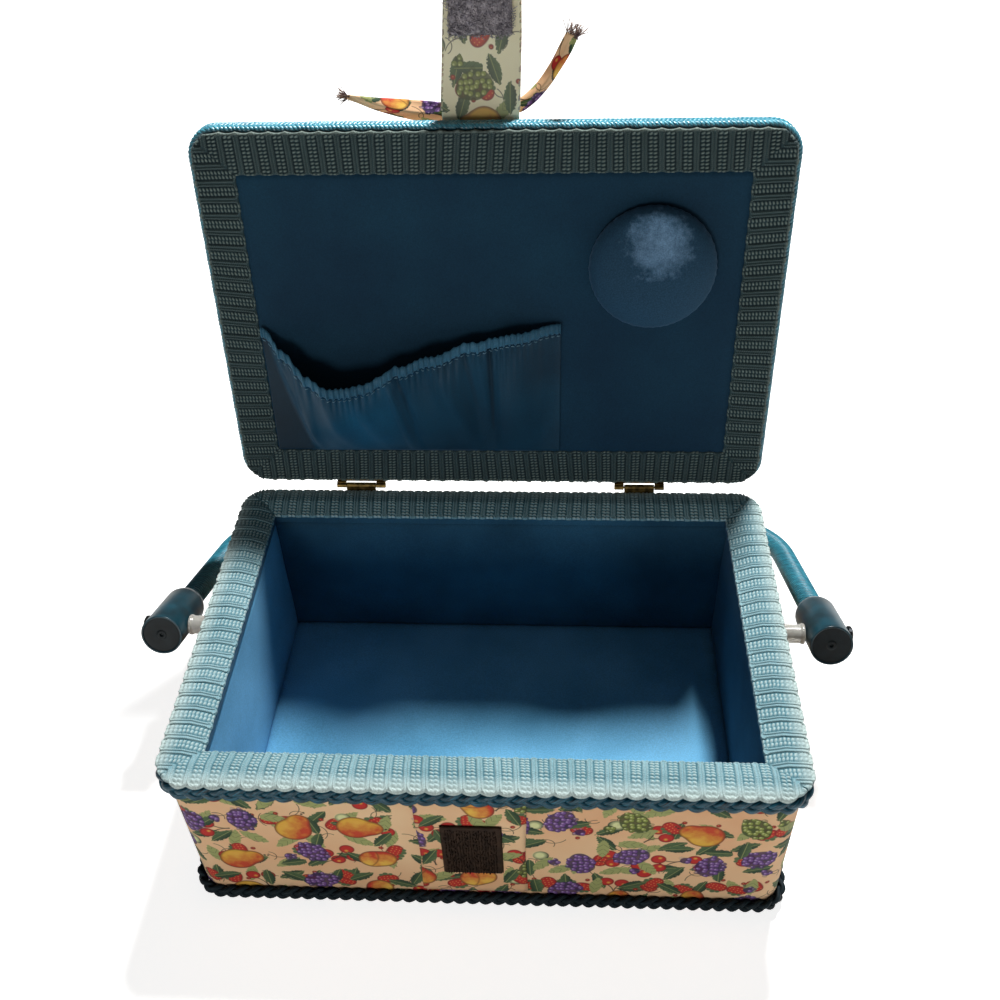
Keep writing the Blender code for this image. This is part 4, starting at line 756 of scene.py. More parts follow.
def gimpStrip(name, side, width, surface, shift, body, finish, yarnFinish, blockOutside):
    look = gimpLook
    half = halfWidth if side in ("front", "back") else halfDepth
    radius = look["cornerRound"]
    count = round(2 * half / look["pitch"])
    block = 2 * half / count
    draw = np.random.default_rng(len(name) + count)
    wander = draw.uniform(0, turn)

    def edges(along):  # where the strip begins and ends across, with its mitred, rounded ends
        over = np.clip(np.abs(along) - (half - radius), 0, radius)
        low = radius - np.sqrt(radius ** 2 - over ** 2)
        return low, np.minimum(width, half - np.abs(along))

    def spot(along, inward, height):  # the braid leans a little here and there
        lean = look["lean"] * np.sin(along / (31 * mm) + wander) * (1 - (along / half) ** 2)
        over = overhang * np.clip(1 - inward / look["overhangFrom"], 0, 1)
        x, y = sidePlace(side, along + lean * (inward - width / 2) * 2, inward - over)
        return np.stack(np.broadcast_arrays(x, y, surface(inward, height)), -1)

    overhang = look["overhang"] if blockOutside else 0
    paleReach = look["rimPaleReach"] if blockOutside else look["lidPaleReach"]

    # The knitted body
    tip = half - radius * (1 - math.sqrt(0.5))
    along = np.linspace(-tip, tip, count * look["along"] + 1)[:, None]
    local = (along + half) % block - block / 2
    low, high = edges(along)
    wave = look["scallop"] * (local / block * 2) ** 2
    low = low + (wave if blockOutside else look["scallop"] - wave) + 0.15 * mm
    innerWave = wave * look["inner"] / look["scallop"]
    innerEdge = width - (look["inner"] - innerWave if blockOutside else innerWave) - 0.1 * mm
    high = np.maximum(np.minimum(high, innerEdge), low + 0.1 * mm)
    share = np.linspace(0, 1, look["across"])[None]
    inward = low + (high - low) * share
    column = np.where(local < 0, -0.5, 0.5)
    beside = local / look["columnGap"] - column
    sway = 0.07 * ripple(along, inward, 9 * mm, count)
    row = inward / look["rowGap"] + 0.32 * beside + column + sway
    stitch = np.cos(math.pi * np.clip(beside, -0.5, 0.5)) ** 0.4
    stitch = stitch * (0.5 + 0.5 * np.cos(turn * row)) ** 0.5  # wide threads, narrow gaps
    filled = 0.45 * np.clip((np.abs(local) - 1.1 * look["columnGap"]) / (0.3 * mm), 0, 1)
    stitch = np.maximum(stitch, filled)  # the braid is closed between its blocks
    height = look["body"] + look["stitch"] * stitch
    rolled = edgeRound(np.minimum(inward - low, high - inward) + 0.05 * mm, 0.7 * mm)
    height = height * np.where(inward < innerEdge - 0.8 * mm, edgeRound(
        inward - low + 0.05 * mm, 0.7 * mm), rolled)
    top = spot(np.broadcast_to(along, inward.shape), inward, height)
    under = [spot(along, edge, 0 * edge) for edge in (low, high)]
    rows = np.concatenate([under[0], top, under[1]], 1)
    places = np.zeros(rows.shape)  # for the finish: nearness to the outer edge, and height
    places[:, 1:-1, 0] = np.clip(1 - inward / paleReach, 0, 1)
    places[:, 1:-1, 2] = stitch
    knit = meshOf(name, [gridShape(rows, places, roundCols=True, capped=True)], shift)
    facesOut(knit)

    # The yarn round the blocks
    rib = 1.5 * look["columnGap"]
    turnPlaces = ((-1.0, 2.4), (-0.85, 1.25), (-0.4, 0.62), (0.4, 0.62), (0.85, 1.25), (1.0, 2.4))
    line = []
    for index in range(count):
        centre = -half + block * (index + 0.5)
        arch = [(centre - block / 2, width - 0.6 * mm), (centre - rib + 0.5 * mm, width - 1.3 * mm),
                (centre - rib, width - 2.7 * mm), (centre - rib, width / 2)]
        bend = [(centre + share * rib, across * mm) for share, across in turnPlaces]
        back = [(centre + rib, width / 2), (centre + rib, width - 2.7 * mm),
                (centre + rib - 0.5 * mm, width - 1.3 * mm)]
        line += arch + bend + back
    line = np.array(line) + draw.normal(0, 0.06 * mm, (len(line), 2))
    line = evenly(smoothLine(line, 6), look["yarnStep"])
    if not blockOutside:
        line[:, 1] = width - line[:, 1]
    low, high = edges(line[:, 0])
    room = look["yarn"]
    kept = (line[:, 1] > low + room) & (line[:, 1] < high - room) & (np.abs(line[:, 0]) < tip)
    nearEdge = np.minimum(line[:, 1], width - line[:, 1])
    height = look["thickness"] - look["yarn"] - 0.3 * mm * np.clip(1 - nearEdge / (2 * mm), 0, 1)
    path = spot(line[:, 0], line[:, 1], height)
    runs = np.split(np.arange(len(path)), np.flatnonzero(np.diff(kept.astype(int))) + 1)
    shapes = []
    for run in runs:
        if kept[run[0]] and len(run) > 8:
            radii = plied(len(run), 6, look["yarnStep"], look["yarn"], look["yarnLay"],
                          depth=look["plyDepth"])
            shape = sweep(path[run], np.array([0.0, 0.0, 1.0]), radii, 6)
            nearness = np.clip(1 - line[run, 1] / paleReach, 0, 1)
            shape[2][:, 0] = np.repeat(nearness, 6)
            shape[2][:, 2] = np.clip(radii / look["yarn"] * 2.0 - 1.1, 0.2, 0.9).ravel()
            shapes.append(shape)
    yarn = facesOut(meshOf(name + " yarn", shapes, shift))
    addPiece(name, knit, finish, body, "gimp", name.replace(" ", "_"))
    addPiece(name + " yarn", yarn, yarnFinish, body, "gimp", name.replace(" ", "_"))


rimStripWidth = halfDepth + rimHigh[1]
lidStripLow, lidStripHigh = reach("lid_trim_front", True)
lidStripWidth = lidStripHigh[1] - lidStripLow[1]
for side in ("front", "back", "left", "right"):
    gimpStrip("rim trim " + side, side, rimStripWidth, rimSurface, asBuilt, "box",
              gimp, gimp, True)
    gimpStrip("lid trim " + side, side, lidStripWidth, lidSurface, onLid, "lid",
              lidGimp, lidGimp, False)
print("braid laid on the rim and the lid")


# Cords: flat plaits of satin strands round the box and the lid

cordLook = {
    "lid_cord": {"strands": 7, "wave": 13 * mm, "tall": 1.0 * mm, "deep": 1.0 * mm,
                 "height": 8.4 * mm, "depth": 3.6 * mm, "lift": 0},
    "rim_cord": {"strands": 3, "wave": 21 * mm, "tall": 2.0 * mm, "deep": 1.3 * mm,
                 "height": 8.8 * mm, "depth": 4.2 * mm, "lift": 0.4 * mm},
    "base_cord": {"strands": 3, "wave": 17 * mm, "tall": 1.5 * mm, "deep": 1.2 * mm,
                  "height": 6.8 * mm, "depth": 4.4 * mm, "lift": -0.5 * mm},
}


def plaitRing(node, finish, slot, body, shift, lidShut):
    look = cordLook[node]
    low, high = reach(node, lidShut)
    offset = high[0] - coverX - look["depth"] / 2
    line, out = roundedRing(coverX + offset, coverY + offset, cornerRound + offset, 0.8 * mm)
    waves = round(len(line) * 0.8 * mm / look["wave"])
    angle = turn * waves * np.arange(len(line)) / len(line)
    sides = 8
    around = turn * np.arange(sides) / sides
    flat = 1 / np.sqrt((np.cos(around) / look["deep"]) ** 2 + (np.sin(around) / look["tall"]) ** 2)
    shapes = []
    for strand in range(look["strands"]):
        phase = angle + turn * strand / look["strands"]
        swing = np.sin(phase) + 0.06 * np.sin(angle / 7 + strand)
        aside = (look["depth"] / 2 - look["deep"]) * np.sin(2 * phase)
        up = (low[2] + high[2]) / 2 + look["lift"] + (look["height"] / 2 - look["tall"]) * swing
        path = np.concatenate([line + out * aside[:, None], up[:, None]], 1)
        facing = np.concatenate([out, np.zeros((len(line), 1))], 1)
        shapes.append(sweep(path, facing, flat[None], sides, closed=True, strand=strand))
    name = node.replace("_", " ")
    addPiece(name, facesOut(meshOf(name, shapes, shift)), finish, body, slot, node)


plaitRing("lid_cord", edgeCord, "satin_cord", "lid", onLid, True)
plaitRing("rim_cord", rimTwist, "satin_cord", "box", asBuilt, False)
plaitRing("base_cord", footCord, "base_cord", "box", asBuilt, False)
print("cords plaited")


# The printed cloth round the box

coverLook = {"spacing": 3.0 * mm, "levels": 30, "bulge": 0.22 * mm, "pucker": 0.12 * mm,
             "thickness": 0.6 * mm}
line, out = roundedRing(coverX, coverY, cornerRound, coverLook["spacing"])
levels = np.linspace(boxLow[2], boxHigh[2], coverLook["levels"])
up = np.linspace(0, 1, coverLook["levels"])[:, None]
along = np.arange(len(line))[None] * coverLook["spacing"]
flatness = np.clip(np.abs(out).max(1) * 2 - 1, 0, 1)[None] ** 4
puff = coverLook["bulge"] * np.sin(math.pi * up) * flatness
puff = puff + (coverLook["pucker"] * ripple(along, up * 0.03, 24 * mm, 3)
               * (1 - np.sin(math.pi * up)))
puff = puff - coverLook["bulge"]
cloth = np.zeros((len(levels), len(line), 3))
cloth[..., :2] = line[None] + out[None] * puff[..., None]
cloth[..., 2] = levels[:, None]
print("box cloth", round(len(line) * coverLook["spacing"], 3), "m round")
places = np.zeros(cloth.shape)
places[..., 0] = along / mm
places[..., 1] = levels[:, None] / mm
# The strip laps over itself at the middle of the back, so its ends stay apart there
closing = np.concatenate([cloth, cloth[:, :1]], 1)
closingPlaces = np.concatenate([places, places[:, :1] + [[[len(line) * 3.0, 0, 0]]]], 1)
boxCloth = meshOf("box cloth", [gridShape(closing, closingPlaces)])
boxClothPiece = addPiece("box cloth", boxCloth, cotton, "box", "printed_cotton", "box_cover")
thicken(boxClothPiece, coverLook["thickness"])

bandLow, bandHigh = reach("front_band")
across = np.linspace(bandLow[0], bandHigh[0], 20)[None]
rise = np.linspace(bandLow[2] + 0.2 * mm, bandHigh[2] + 0.6 * mm, 30)[:, None]
band = np.zeros((30, 20, 3))
hem = edgeRound(np.minimum(across - bandLow[0], bandHigh[0] - across), 2.5 * mm)
band[..., 0] = across + 0.35 * mm * np.sin(rise / (9 * mm)) * np.sign(across - across.mean())
band[..., 1] = bandLow[1] + 0.35 * mm * (1 - hem)
band[..., 2] = rise
bandPlaces = np.zeros(band.shape)
bandPlaces[..., 0] = band[..., 0] / mm + 431
bandPlaces[..., 1] = band[..., 2] / mm + 173
frontBand = addPiece("front band", meshOf("front band", [gridShape(band, bandPlaces)]), cotton,
                     "box", "printed_cotton", "front_band")
thicken(frontBand, 0.55 * mm)
print("box covered")


# The padded top of the lid, its cloth drawn down over the board's edge

lidLook = {"power": 2.6, "crown": 11 * mm, "spacing": 3.0 * mm, "rings": 26,
           "skirt": 5, "thickness": 0.6 * mm}


def crownHeight(x, y):
    shareX = np.clip(np.abs(x) / coverX, 0, 1)
    shareY = np.clip(np.abs(y) / coverY, 0, 1)
    lift = np.sqrt(1 - shareX ** lidLook["power"]) * np.sqrt(1 - shareY ** lidLook["power"])
    return lidHigh[2] - lidLook["crown"] * (1 - lift)


line, out = roundedRing(coverX, coverY, cornerRound, lidLook["spacing"])
scales = 1 - (1 - np.linspace(1, 0.02, lidLook["rings"])[::-1]) ** 1.6
scales = np.clip(scales / scales.max(), 0.02, 1)
rings = line[None] * scales[:, None, None]
dome = np.zeros((lidLook["rings"], len(line), 3))
dome[..., :2] = rings
dome[..., 2] = crownHeight(rings[..., 0], rings[..., 1])
wrinkle = ripple(rings[..., 0], rings[..., 1], 45 * mm, 5) * 0.25 * mm
dome[..., 2] += (wrinkle - 0.4 * mm) * np.sin(math.pi * scales)[:, None]
domePlaces = np.zeros(dome.shape)
domePlaces[..., 0] = rings[..., 0] / mm + 903
domePlaces[..., 1] = rings[..., 1] / mm + 611
drop = np.linspace(0, 1, lidLook["skirt"] + 1)[1:, None]
skirt = np.zeros((lidLook["skirt"], len(line), 3))
skirt[..., :2] = line[None]
skirt[..., 2] = dome[-1, :, 2][None] + (lidLow[2] - dome[-1, :, 2][None]) * drop
skirtPlaces = np.zeros(skirt.shape)
fallen = (dome[-1, :, 2][None] - skirt[..., 2]) / mm
skirtPlaces[..., :2] = domePlaces[-1, :, :2][None] + out[None] * fallen[..., None]
lidShape = gridShape(np.concatenate([dome, skirt]), np.concatenate([domePlaces, skirtPlaces]),
                     roundCols=True)
lidShape[1].append(list(range(len(line)))[::-1])
lidCloth = addPiece("lid cloth", facesOut(meshOf("lid cloth", [lidShape], onLid)), cotton, "lid",
                    "printed_cotton", "lid_cover", "lid_pad")
thicken(lidCloth, lidLook["thickness"])

bandY = np.linspace(2 * mm - coverY, coverY - 0.6 * mm, 60)
bandX = np.linspace(reach("lid_band")[0][0], reach("lid_band")[1][0], 20)
narrow = np.clip((bandY - bandY[0]) / (12 * mm), 0, 1)[:, None] ** 0.5
middleX = bandX.mean()
strapShare = (reach("closure_strap", True)[1][0] - reach("closure_strap", True)[0][0]) / (
    bandX[-1] - bandX[0])
lidBand = np.zeros((60, 20, 3))
lidBand[..., 0] = middleX + (bandX[None] - middleX) * (strapShare + (1 - strapShare) * narrow)
lidBand[..., 1] = bandY[:, None]
lidBand[..., 2] = crownHeight(lidBand[..., 0], lidBand[..., 1]) + 0.45 * mm
lidBandPlaces = np.zeros(lidBand.shape)
lidBandPlaces[..., 0] = lidBand[..., 0] / mm + 1431
lidBandPlaces[..., 1] = lidBand[..., 1] / mm + 373
lidBandPiece = addPiece(
    "lid band", facesOut(meshOf("lid band", [gridShape(lidBand, lidBandPlaces)], onLid)), cotton,
    "lid", "printed_cotton", "lid_band")
thicken(lidBandPiece, 0.55 * mm, 0.0)
print("lid covered")


# Padding: closed pillows whose faces draw in at their seams

def pillow(name, spanU, spanV, deep, seams, toPlace, finish, body, shift, slot, nodes, seed,
           cells=(60, 30), dent=0.45 * mm, rollIn=2.2 * mm):
    wall = 0.15 * mm  # the outermost ring of points stands almost straight
    u = np.concatenate([spanU[:1], np.linspace(spanU[0] + wall, spanU[1] - wall, cells[0]), spanU[1:]])[None]
    v = np.concatenate([spanV[:1], np.linspace(spanV[0] + wall, spanV[1] - wall, cells[1]), spanV[1:]])
    v = v[:, None]
    rise = (edgeRound(u - spanU[0], seams[0]) * edgeRound(spanU[1] - u, seams[0])
            * edgeRound(v - spanV[0], seams[1]) * edgeRound(spanV[1] - v, seams[1]))
    sag = dent * (1 + ripple(u, v, 55 * mm, seed)) * 0.5
    pull = dent * (0.5 + 0.5 * ripple(u, v * 0.2, 13 * mm, seed + 1)) * (1 - rise)
    onBorder = (u == spanU[0]) | (u == spanU[1]) | (v == spanV[0]) | (v == spanV[1])
    depth = deep - rollIn * (1 - rise) - sag - pull
    depth = np.where(onBorder, 0, np.maximum(depth, 0.2 * deep))
    u, v = np.broadcast_arrays(u, v)
    face = gridShape(toPlace(u, v, depth))
    back = gridShape(toPlace(u, v, 0 * depth))
    back = (back[0], [corners[::-1] for corners in back[1]], back[2])
    made = weld(meshOf(name, [face, back], shift))
    piece = addPiece(name, made, finish, body, slot, *nodes)
    return piece


roomLow, roomHigh = reach("floor_pad")
panelLow, panelHigh = reach("wall_lining_back")
sideLow, sideHigh = reach("wall_lining_right")
wallTop = panelHigh[2] + 0.3 * mm
cornerLap = 4 * mm
padDeep = panelHigh[1] - panelLow[1]
wallSpan = (panelLow[2], wallTop)
for sign, side in ((1, "back"), (-1, "front")):
    pillow("wall lining " + side, (-sideLow[0] - cornerLap, sideLow[0] + cornerLap), wallSpan,
           padDeep, (6 * mm, 3.5 * mm),
           lambda u, v, d, sign=sign: np.stack([u, sign * (panelHigh[1] - d), v], -1),
           wallLining, "box", asBuilt, "lining", ["wall_lining_" + side], 11 + sign)
for sign, side, finish in ((1, "right", wallLining), (-1, "left", lining)):
    pillow("wall lining " + side, (-panelLow[1] - cornerLap, panelLow[1] + cornerLap), wallSpan,
           padDeep, (6 * mm, 3.5 * mm),
           lambda u, v, d, sign=sign: np.stack([sign * (sideHigh[0] - d), u, v], -1),
           finish, "box", asBuilt, "lining", ["wall_lining_" + side], 21 + sign)
padLap = 2 * mm  # pressed in under the walls' padding
pillow("floor pad", (roomLow[0] - padLap, roomHigh[0] + padLap),
       (roomLow[1] - padLap, roomHigh[1] + padLap), roomHigh[2] - roomLow[2],
       (5 * mm, 5 * mm), lambda u, v, d: np.stack([u, v, roomLow[2] + d], -1),
       lining, "box", asBuilt, "lining", ["floor_pad"], 31, cells=(70, 46))
liningLow, liningHigh = reach("lid_lining", True)
liningLap = 1.3 * mm  # tucked under the braid
pillow("lid lining", (liningLow[0] - liningLap, liningHigh[0] + liningLap),
       (liningLow[1] - liningLap, liningHigh[1] + liningLap),
       liningHigh[2] - liningLow[2], (2 * mm, 2 * mm),
       lambda u, v, d: np.stack([u, v, liningHigh[2] - d], -1),
       lidLining, "lid", onLid, "lining", ["lid_lining"], 41, cells=(70, 46), dent=0.2 * mm,
       rollIn=0.35 * mm)
print("linings padded")


# Pincushion: a velvet dome gathered under its card

cushionLook = {"folds": 44, "fold": 0.35 * mm, "rings": 40, "around": 176, "power": 2.1}
cushionLow, cushionHigh = reach("pincushion", True)
cushionMiddle = (cushionLow + cushionHigh) / 2
cushionRound = (cushionHigh[0] - cushionLow[0]) / 2
share = np.sin(np.linspace(0.02, 1, cushionLook["rings"]) * math.pi / 2)[:, None]
around = (turn * np.arange(cushionLook["around"]) / cushionLook["around"])[None]
swell = (1 - share ** cushionLook["power"]) ** (1 / cushionLook["power"])
height = (cushionHigh[2] - cushionLow[2]) * (0.08 + 0.92 * swell)
creases = np.abs(np.sin(around * cushionLook["folds"] / 2 + 1.3 * np.sin(5 * around)))
gather = cushionLook["fold"] * creases * np.clip((share - 0.9) / 0.1, 0, 1)
x = cushionMiddle[0] + (cushionRound * share - gather) * np.cos(around)
y = cushionMiddle[1] + (cushionRound * share - gather) * np.sin(around)
height = height + ripple(x, y, 22 * mm, 8) * 0.25 * mm * swell - 0.3 * mm * swell
dome = np.stack([x, y, cushionHigh[2] - height], -1)
tuck = dome[-1].copy()
tuck[:, :2] = cushionMiddle[:2] + (tuck[:, :2] - cushionMiddle[:2]) * 0.93
tuck[:, 2] = cushionHigh[2]
dome = np.concatenate([dome, tuck[None]])
# The painted patch of light lies on the dome's upper half when the lid is open
paintedLightSpot = onLid(np.array([cushionMiddle[0] + 2 * mm, cushionMiddle[1] - 14 * mm,
                             cushionLow[2] + 3 * mm]))
velvet = velvetWithPaintedLight(paintedLightSpot)
cushionMesh = facesOut(meshOf("pincushion", [gridShape(dome, roundCols=True, capped=True)], onLid))
cushion = addPiece("pincushion top", cushionMesh, velvet, "lid", "pincushion", "pincushion")
print("pincushion stuffed")


# Gathered pocket: soft folds below a ruffled elastic casing

pocketLook = {
    "width": 141 * mm, "depth": 64 * mm, "bulge": 17 * mm, "swell": 0.8, "pleats": 42,
    "pleat": 0.8 * mm, "cloth": 0.5 * mm, "columns": 280, "rows": 64, "casing": 5.0 * mm,
    "casingDeep": 1.5 * mm, "stitchGap": 2.6 * mm, "sideLean": 0.12, "sideRise": 0.06,
    "foldDark": 2.2 * mm, "shadeOffBulge": 0.72,
}
# Folds that hang from the gathers: place along the top, drift below it, width, height in mm
pocketFolds = ((0.10, 0.06, 0.022, 2.4), (0.20, 0.10, 0.030, 3.0), (0.30, 0.11, 0.026, 2.6),
               (0.42, 0.07, 0.014, 2.8), (0.455, 0.07, 0.016, -2.8), (0.58, 0.12, 0.035, 3.8),
               (0.68, 0.07, 0.028, -3.0), (0.765, 0.01, 0.018, -4.2), (0.85, -0.03, 0.040, 3.6),
               (0.95, -0.01, 0.020, -1.8))
# Along the top edge: shares of the width, of the depth and of the bulge
pocketEdge = np.array([
    (0, .97, 0), (.08, .84, .45), (.16, .68, .85), (.24, .60, 1), (.34, .63, .95), (.46, .74, .75),
    (.58, .83, .60), (.72, .91, .50), (.86, .97, .35), (1, 1, 0)])


def edgeShare(along, column):
    index = np.clip(np.searchsorted(pocketEdge[:, 0], along, side="right") - 1, 0, len(pocketEdge) - 2)
    part = (along - pocketEdge[index, 0]) / (pocketEdge[index + 1, 0] - pocketEdge[index, 0])
    part = part * part * (3 - 2 * part)
    first = pocketEdge[index, column]
    return first + (pocketEdge[index + 1, column] - first) * part


pocketLeft = reach("pocket", True)[0][0]
pocketBack = reach("pocket", True)[1][1]
pocketSeat = liningLow[2] - 0.3 * mm


def pleatWave(along):  # uneven gathers, as stitching pulls them up
    return np.sin(math.pi * pocketLook["pleats"] * (along + 0.012 * np.sin(along * 23)) * 2 + 0.7)


def foldHeight(along, up):
    folds = sum(height * mm * np.exp(-((along - place - drift * (1 - up)) / wide) ** 2)
                for place, drift, wide, height in pocketFolds)
    return folds * up ** 0.6 * (1.15 - 0.5 * up)


def ridgeShare(along, up):  # on the left the cloth lies flat up to a ridge that slants in below
    side = np.clip((along - pocketLook["sideLean"] * (1 - up)) / pocketLook["sideRise"], 0, 1)
    return side * side * (3 - 2 * side)


def pocketShade(along, up):  # painted shade: all but the bulge by the left is darker, as in the photo
    valley = np.clip(-foldHeight(along, up) / pocketLook["foldDark"], 0, 1)
    # painted light on the bulge by the left; painted shade in the valleys of the folds, left of the ridge
    # and over the rest
    lighter = np.exp(-((along - 0.33) / 0.13) ** 2) * (0.6 + 0.4 * np.sin(math.pi * up))
    shade = np.maximum(pocketLook["shadeOffBulge"] * (1 - lighter), valley)
    return np.maximum(shade, 1 - ridgeShare(along, up))


def pocketPoint(along, up, standOff):
    look = pocketLook
    swell = np.sin(math.pi / 2 * up ** look["swell"])
    bulge = look["bulge"] * edgeShare(along, 2)
    folds = foldHeight(along, up)
    reachDown = 9 + 4 * np.sin(along * 37)  # the gathers die away at uneven depths
    pleats = look["pleat"] * pleatWave(along) * up ** reachDown * np.clip(edgeShare(along, 2) * 3, 0, 1)
    soft = 1.1 * mm * ripple(along * 0.141, up * 0.05, 34 * mm, 17) * np.sin(math.pi * up) ** 0.5
    x = pocketLeft + look["width"] * along
    y = pocketBack - look["depth"] * edgeShare(along, 1) * up
    out = bulge * swell + (folds + soft) * np.clip(edgeShare(along, 2) * 1.6, 0, 1) + pleats
    out = out * ridgeShare(along, up)
    return np.stack([x, y, pocketSeat - standOff - np.maximum(out, 0)], -1)


look = pocketLook
along, up = np.meshgrid(np.linspace(0, 1, look["columns"]), np.linspace(0, 1, look["rows"]))
# the pocket's painted shade is passed to its finish
places = np.stack([0 * along, 0 * along, pocketShade(along, up)], -1)
pocketMesh = facesOut(meshOf("pocket", [gridShape(
    pocketPoint(along, up, look["cloth"]), places)], onLid))
pocket = addPiece("gathered pocket", pocketMesh, pocketCloth, "lid", "lining", "pocket")
thicken(pocket, look["cloth"], 0.0)

along = np.linspace(0, 1, 560)[:, None]
around = turn * np.arange(12)[None] / 12
edge = pocketPoint(along[:, 0], np.ones(560), look["casingDeep"])[:, None]
ruffle = 2 * np.sqrt(np.abs(pleatWave(along))) - 1  # round puffs with sharp creases between
half = look["casing"] / 2
casing = np.repeat(edge, 12, 1)
puffed = 1 + 0.1 * ruffle
casing[..., 1] += -half + half * puffed * np.cos(around)
casing[..., 2] += look["casingDeep"] * 0.62 * (1 + 0.3 * ruffle) * np.sin(around) - 0.3 * mm * ruffle
casingMesh = facesOut(meshOf("casing", [gridShape(casing, roundCols=True, capped=True)], onLid))
addPiece("elastic casing", casingMesh, casingCloth, "lid", "lining", "pocket_elastic")
stitches = []
count = int(look["width"] / look["stitchGap"])
for index in range(count):
    first = (index + 0.3) / count
    ends = np.linspace(first, first + 0.5 / count, 5)
    path = pocketPoint(ends, np.ones(5), look["casingDeep"] + 1.3 * mm)
    path[:, 1] += 0.6 * mm
    path[:, 2] -= 0.25 * mm * np.sin(np.linspace(0, math.pi, 5))
    stitches.append(sweep(path, np.array([0.0, 0.0, -1.0]), 0.22 * mm, 6))
addPiece("pocket stitches", facesOut(meshOf("pocket stitches", stitches, onLid)), seamThread,
         "lid", "lining")
print("pocket gathered")


# Turned pieces

def lathe(profile, sides=64):  # profile: places along the axis and radii, closed at its ends
    profile = np.asarray(profile, float)
    around = turn * np.arange(sides) / sides
    radius = np.maximum(profile[:, 1], 0.01 * mm)[:, None]
    points = np.stack([radius * np.cos(around), radius * np.sin(around),
                       np.repeat(profile[:, :1], sides, 1)], -1)
    return gridShape(points, roundCols=True, capped=True)


def rounded(corners, radius, steps=5):  # a profile with its corners rounded
    corners = np.asarray(corners, float)
    made = [corners[0]]
    for before, corner, after in zip(corners, corners[1:], corners[2:]):
        toBefore = unit(before - corner)
        toAfter = unit(after - corner)
        cut = min(radius, 0.45 * np.linalg.norm(before - corner),
                  0.45 * np.linalg.norm(after - corner))
        for share in np.linspace(0, 1, steps):
            made.append(corner + cut * ((1 - share) ** 2 * toBefore + share ** 2 * toAfter))
    return np.array(made + [corners[-1]])


# Handle: a rod wound with satin cord, between two moulded caps

handleLook = {"corner": 75 * mm, "rod": 3.5 * mm, "pitch": 1.95 * mm,
              "wire": 1.0 * mm, "wound": 4.85 * mm, "start": 19 * mm, "perTurn": 14}
handleSide = reach("handle_core")[1][0] - handleLook["rod"]


def handleLine():
    look = handleLook
    arc = np.linspace(0, math.pi / 2, 40)
    bendX = handleSide - look["corner"]
    bendZ = handleReach - look["corner"]
    left = np.stack([-bendX - look["corner"] * np.cos(arc), bendZ + look["corner"] * np.sin(arc)], 1)
    right = np.stack([bendX + look["corner"] * np.sin(arc), bendZ + look["corner"] * np.cos(arc)], 1)
    line = np.concatenate([[[-handleSide, 0.0]], left, right, [[handleSide, 0.0]]])
    return evenly(line, 1.0 * mm)


look = handleLook
line = handleLine()
lengths = np.concatenate([[0], np.cumsum(np.linalg.norm(np.diff(line, axis=0), axis=1))])
whole = lengths[-1]
turns = round((whole - 2 * look["start"]) / look["pitch"])
spot = np.linspace(look["start"], whole - look["start"], turns * look["perTurn"] + 1)
centre = np.stack([np.interp(spot, lengths, line[:, axis]) for axis in range(2)], 1)
ahead = unit(np.gradient(centre, axis=0))
inPlane = np.stack([-ahead[:, 1], np.zeros(len(spot)), ahead[:, 0]], 1)
spin = turn * np.arange(len(spot)) / look["perTurn"]
facing = np.cos(spin)[:, None] * inPlane + np.sin(spin)[:, None] * np.array([0, 1.0, 0])
path = np.stack([centre[:, 0], np.zeros(len(spot)), centre[:, 1]], 1) + facing * look["wound"]
wrapMesh = meshOf("handle winding", [sweep(path, facing, look["wire"], 7)], onHandle)
addPiece("handle winding", facesOut(wrapMesh), gripCord, "handle", "satin_cord", "handle_wrap")

capLook = {"nose": -12 * mm, "tail": 25 * mm, "radius": 9.6 * mm, "neck": 8.1 * mm, "bore": 6.4 * mm,
           "boreEnd": 9 * mm, "lip": 8.5 * mm, "recess": 0.5 * mm, "mark": 1.9 * mm}
look = capLook
outside = rounded([
    (look["nose"] + look["recess"] * 1.8, 0), (look["nose"] + look["recess"] * 1.8, 0.55 * mm),
    (look["nose"] + look["recess"] * 0.4, 0.9 * mm), (look["nose"] + look["recess"] * 0.4, look["mark"]),
    (look["nose"] + look["recess"], look["mark"] + 0.5 * mm),
    (look["nose"] + look["recess"], look["lip"]), (look["nose"], look["lip"] + 0.3 * mm),
    (look["nose"], look["radius"]), (look["tail"] - 4 * mm, look["radius"]),
    (look["tail"], look["neck"]), (look["tail"], look["bore"]), (look["boreEnd"], look["bore"]),
    (look["boreEnd"], 0)], 0.9 * mm)


endRows = int(np.argmax(outside[:, 1] > look["lip"]))  # the first rows lie on the cap's end
capSides = 64

for sign, side in ((-1, "left"), (1, "right")):
    cap = facesOut(meshOf("cap " + side, [lathe(outside, capSides)],
                          lambda points: onHandle(points + [sign * handleSide, 0, 0])))
    addPiece("cap " + side, cap, capPlastic, "handle", "cap_plastic", "handle_cap_" + side)
    cap.materials.append(capFace)
    for face in cap.polygons[:endRows * capSides]:
        face.material_index = 1
    cap.polygons[len(cap.polygons) - 2].material_index = 1
    spacerLow, spacerHigh = reach("pivot_spacer_" + side)
    tall = (spacerHigh[2] - spacerLow[2]) / 2
    ends = (spacerLow[0], spacerHigh[0])
    tube = rounded([(ends[0], 2.3 * mm), (ends[0], tall), (ends[0] + 1.2 * mm, tall),
                    (ends[0] + 2 * mm, tall - 0.5 * mm), (ends[1] - 2 * mm, tall - 0.5 * mm),
                    (ends[1] - 1.2 * mm, tall), (ends[1], tall), (ends[1], 2.3 * mm),
                    (ends[0], 2.3 * mm)], 0.5 * mm)
    around = turn * np.arange(48) / 48
    ring = np.stack([np.repeat(tube[:, :1], 48, 1), tube[:, 1:] * np.cos(around),
                     tube[:, 1:] * np.sin(around)], -1)
    ring += np.array([0, handlePivot[1], handlePivot[2]])
    spacer = weld(meshOf("spacer " + side, [gridShape(ring, roundCols=True)]))
    addPiece("spacer " + side, spacer, clearTube, "box", "clear_plastic", "pivot_spacer_" + side)
print("handle wound and capped")


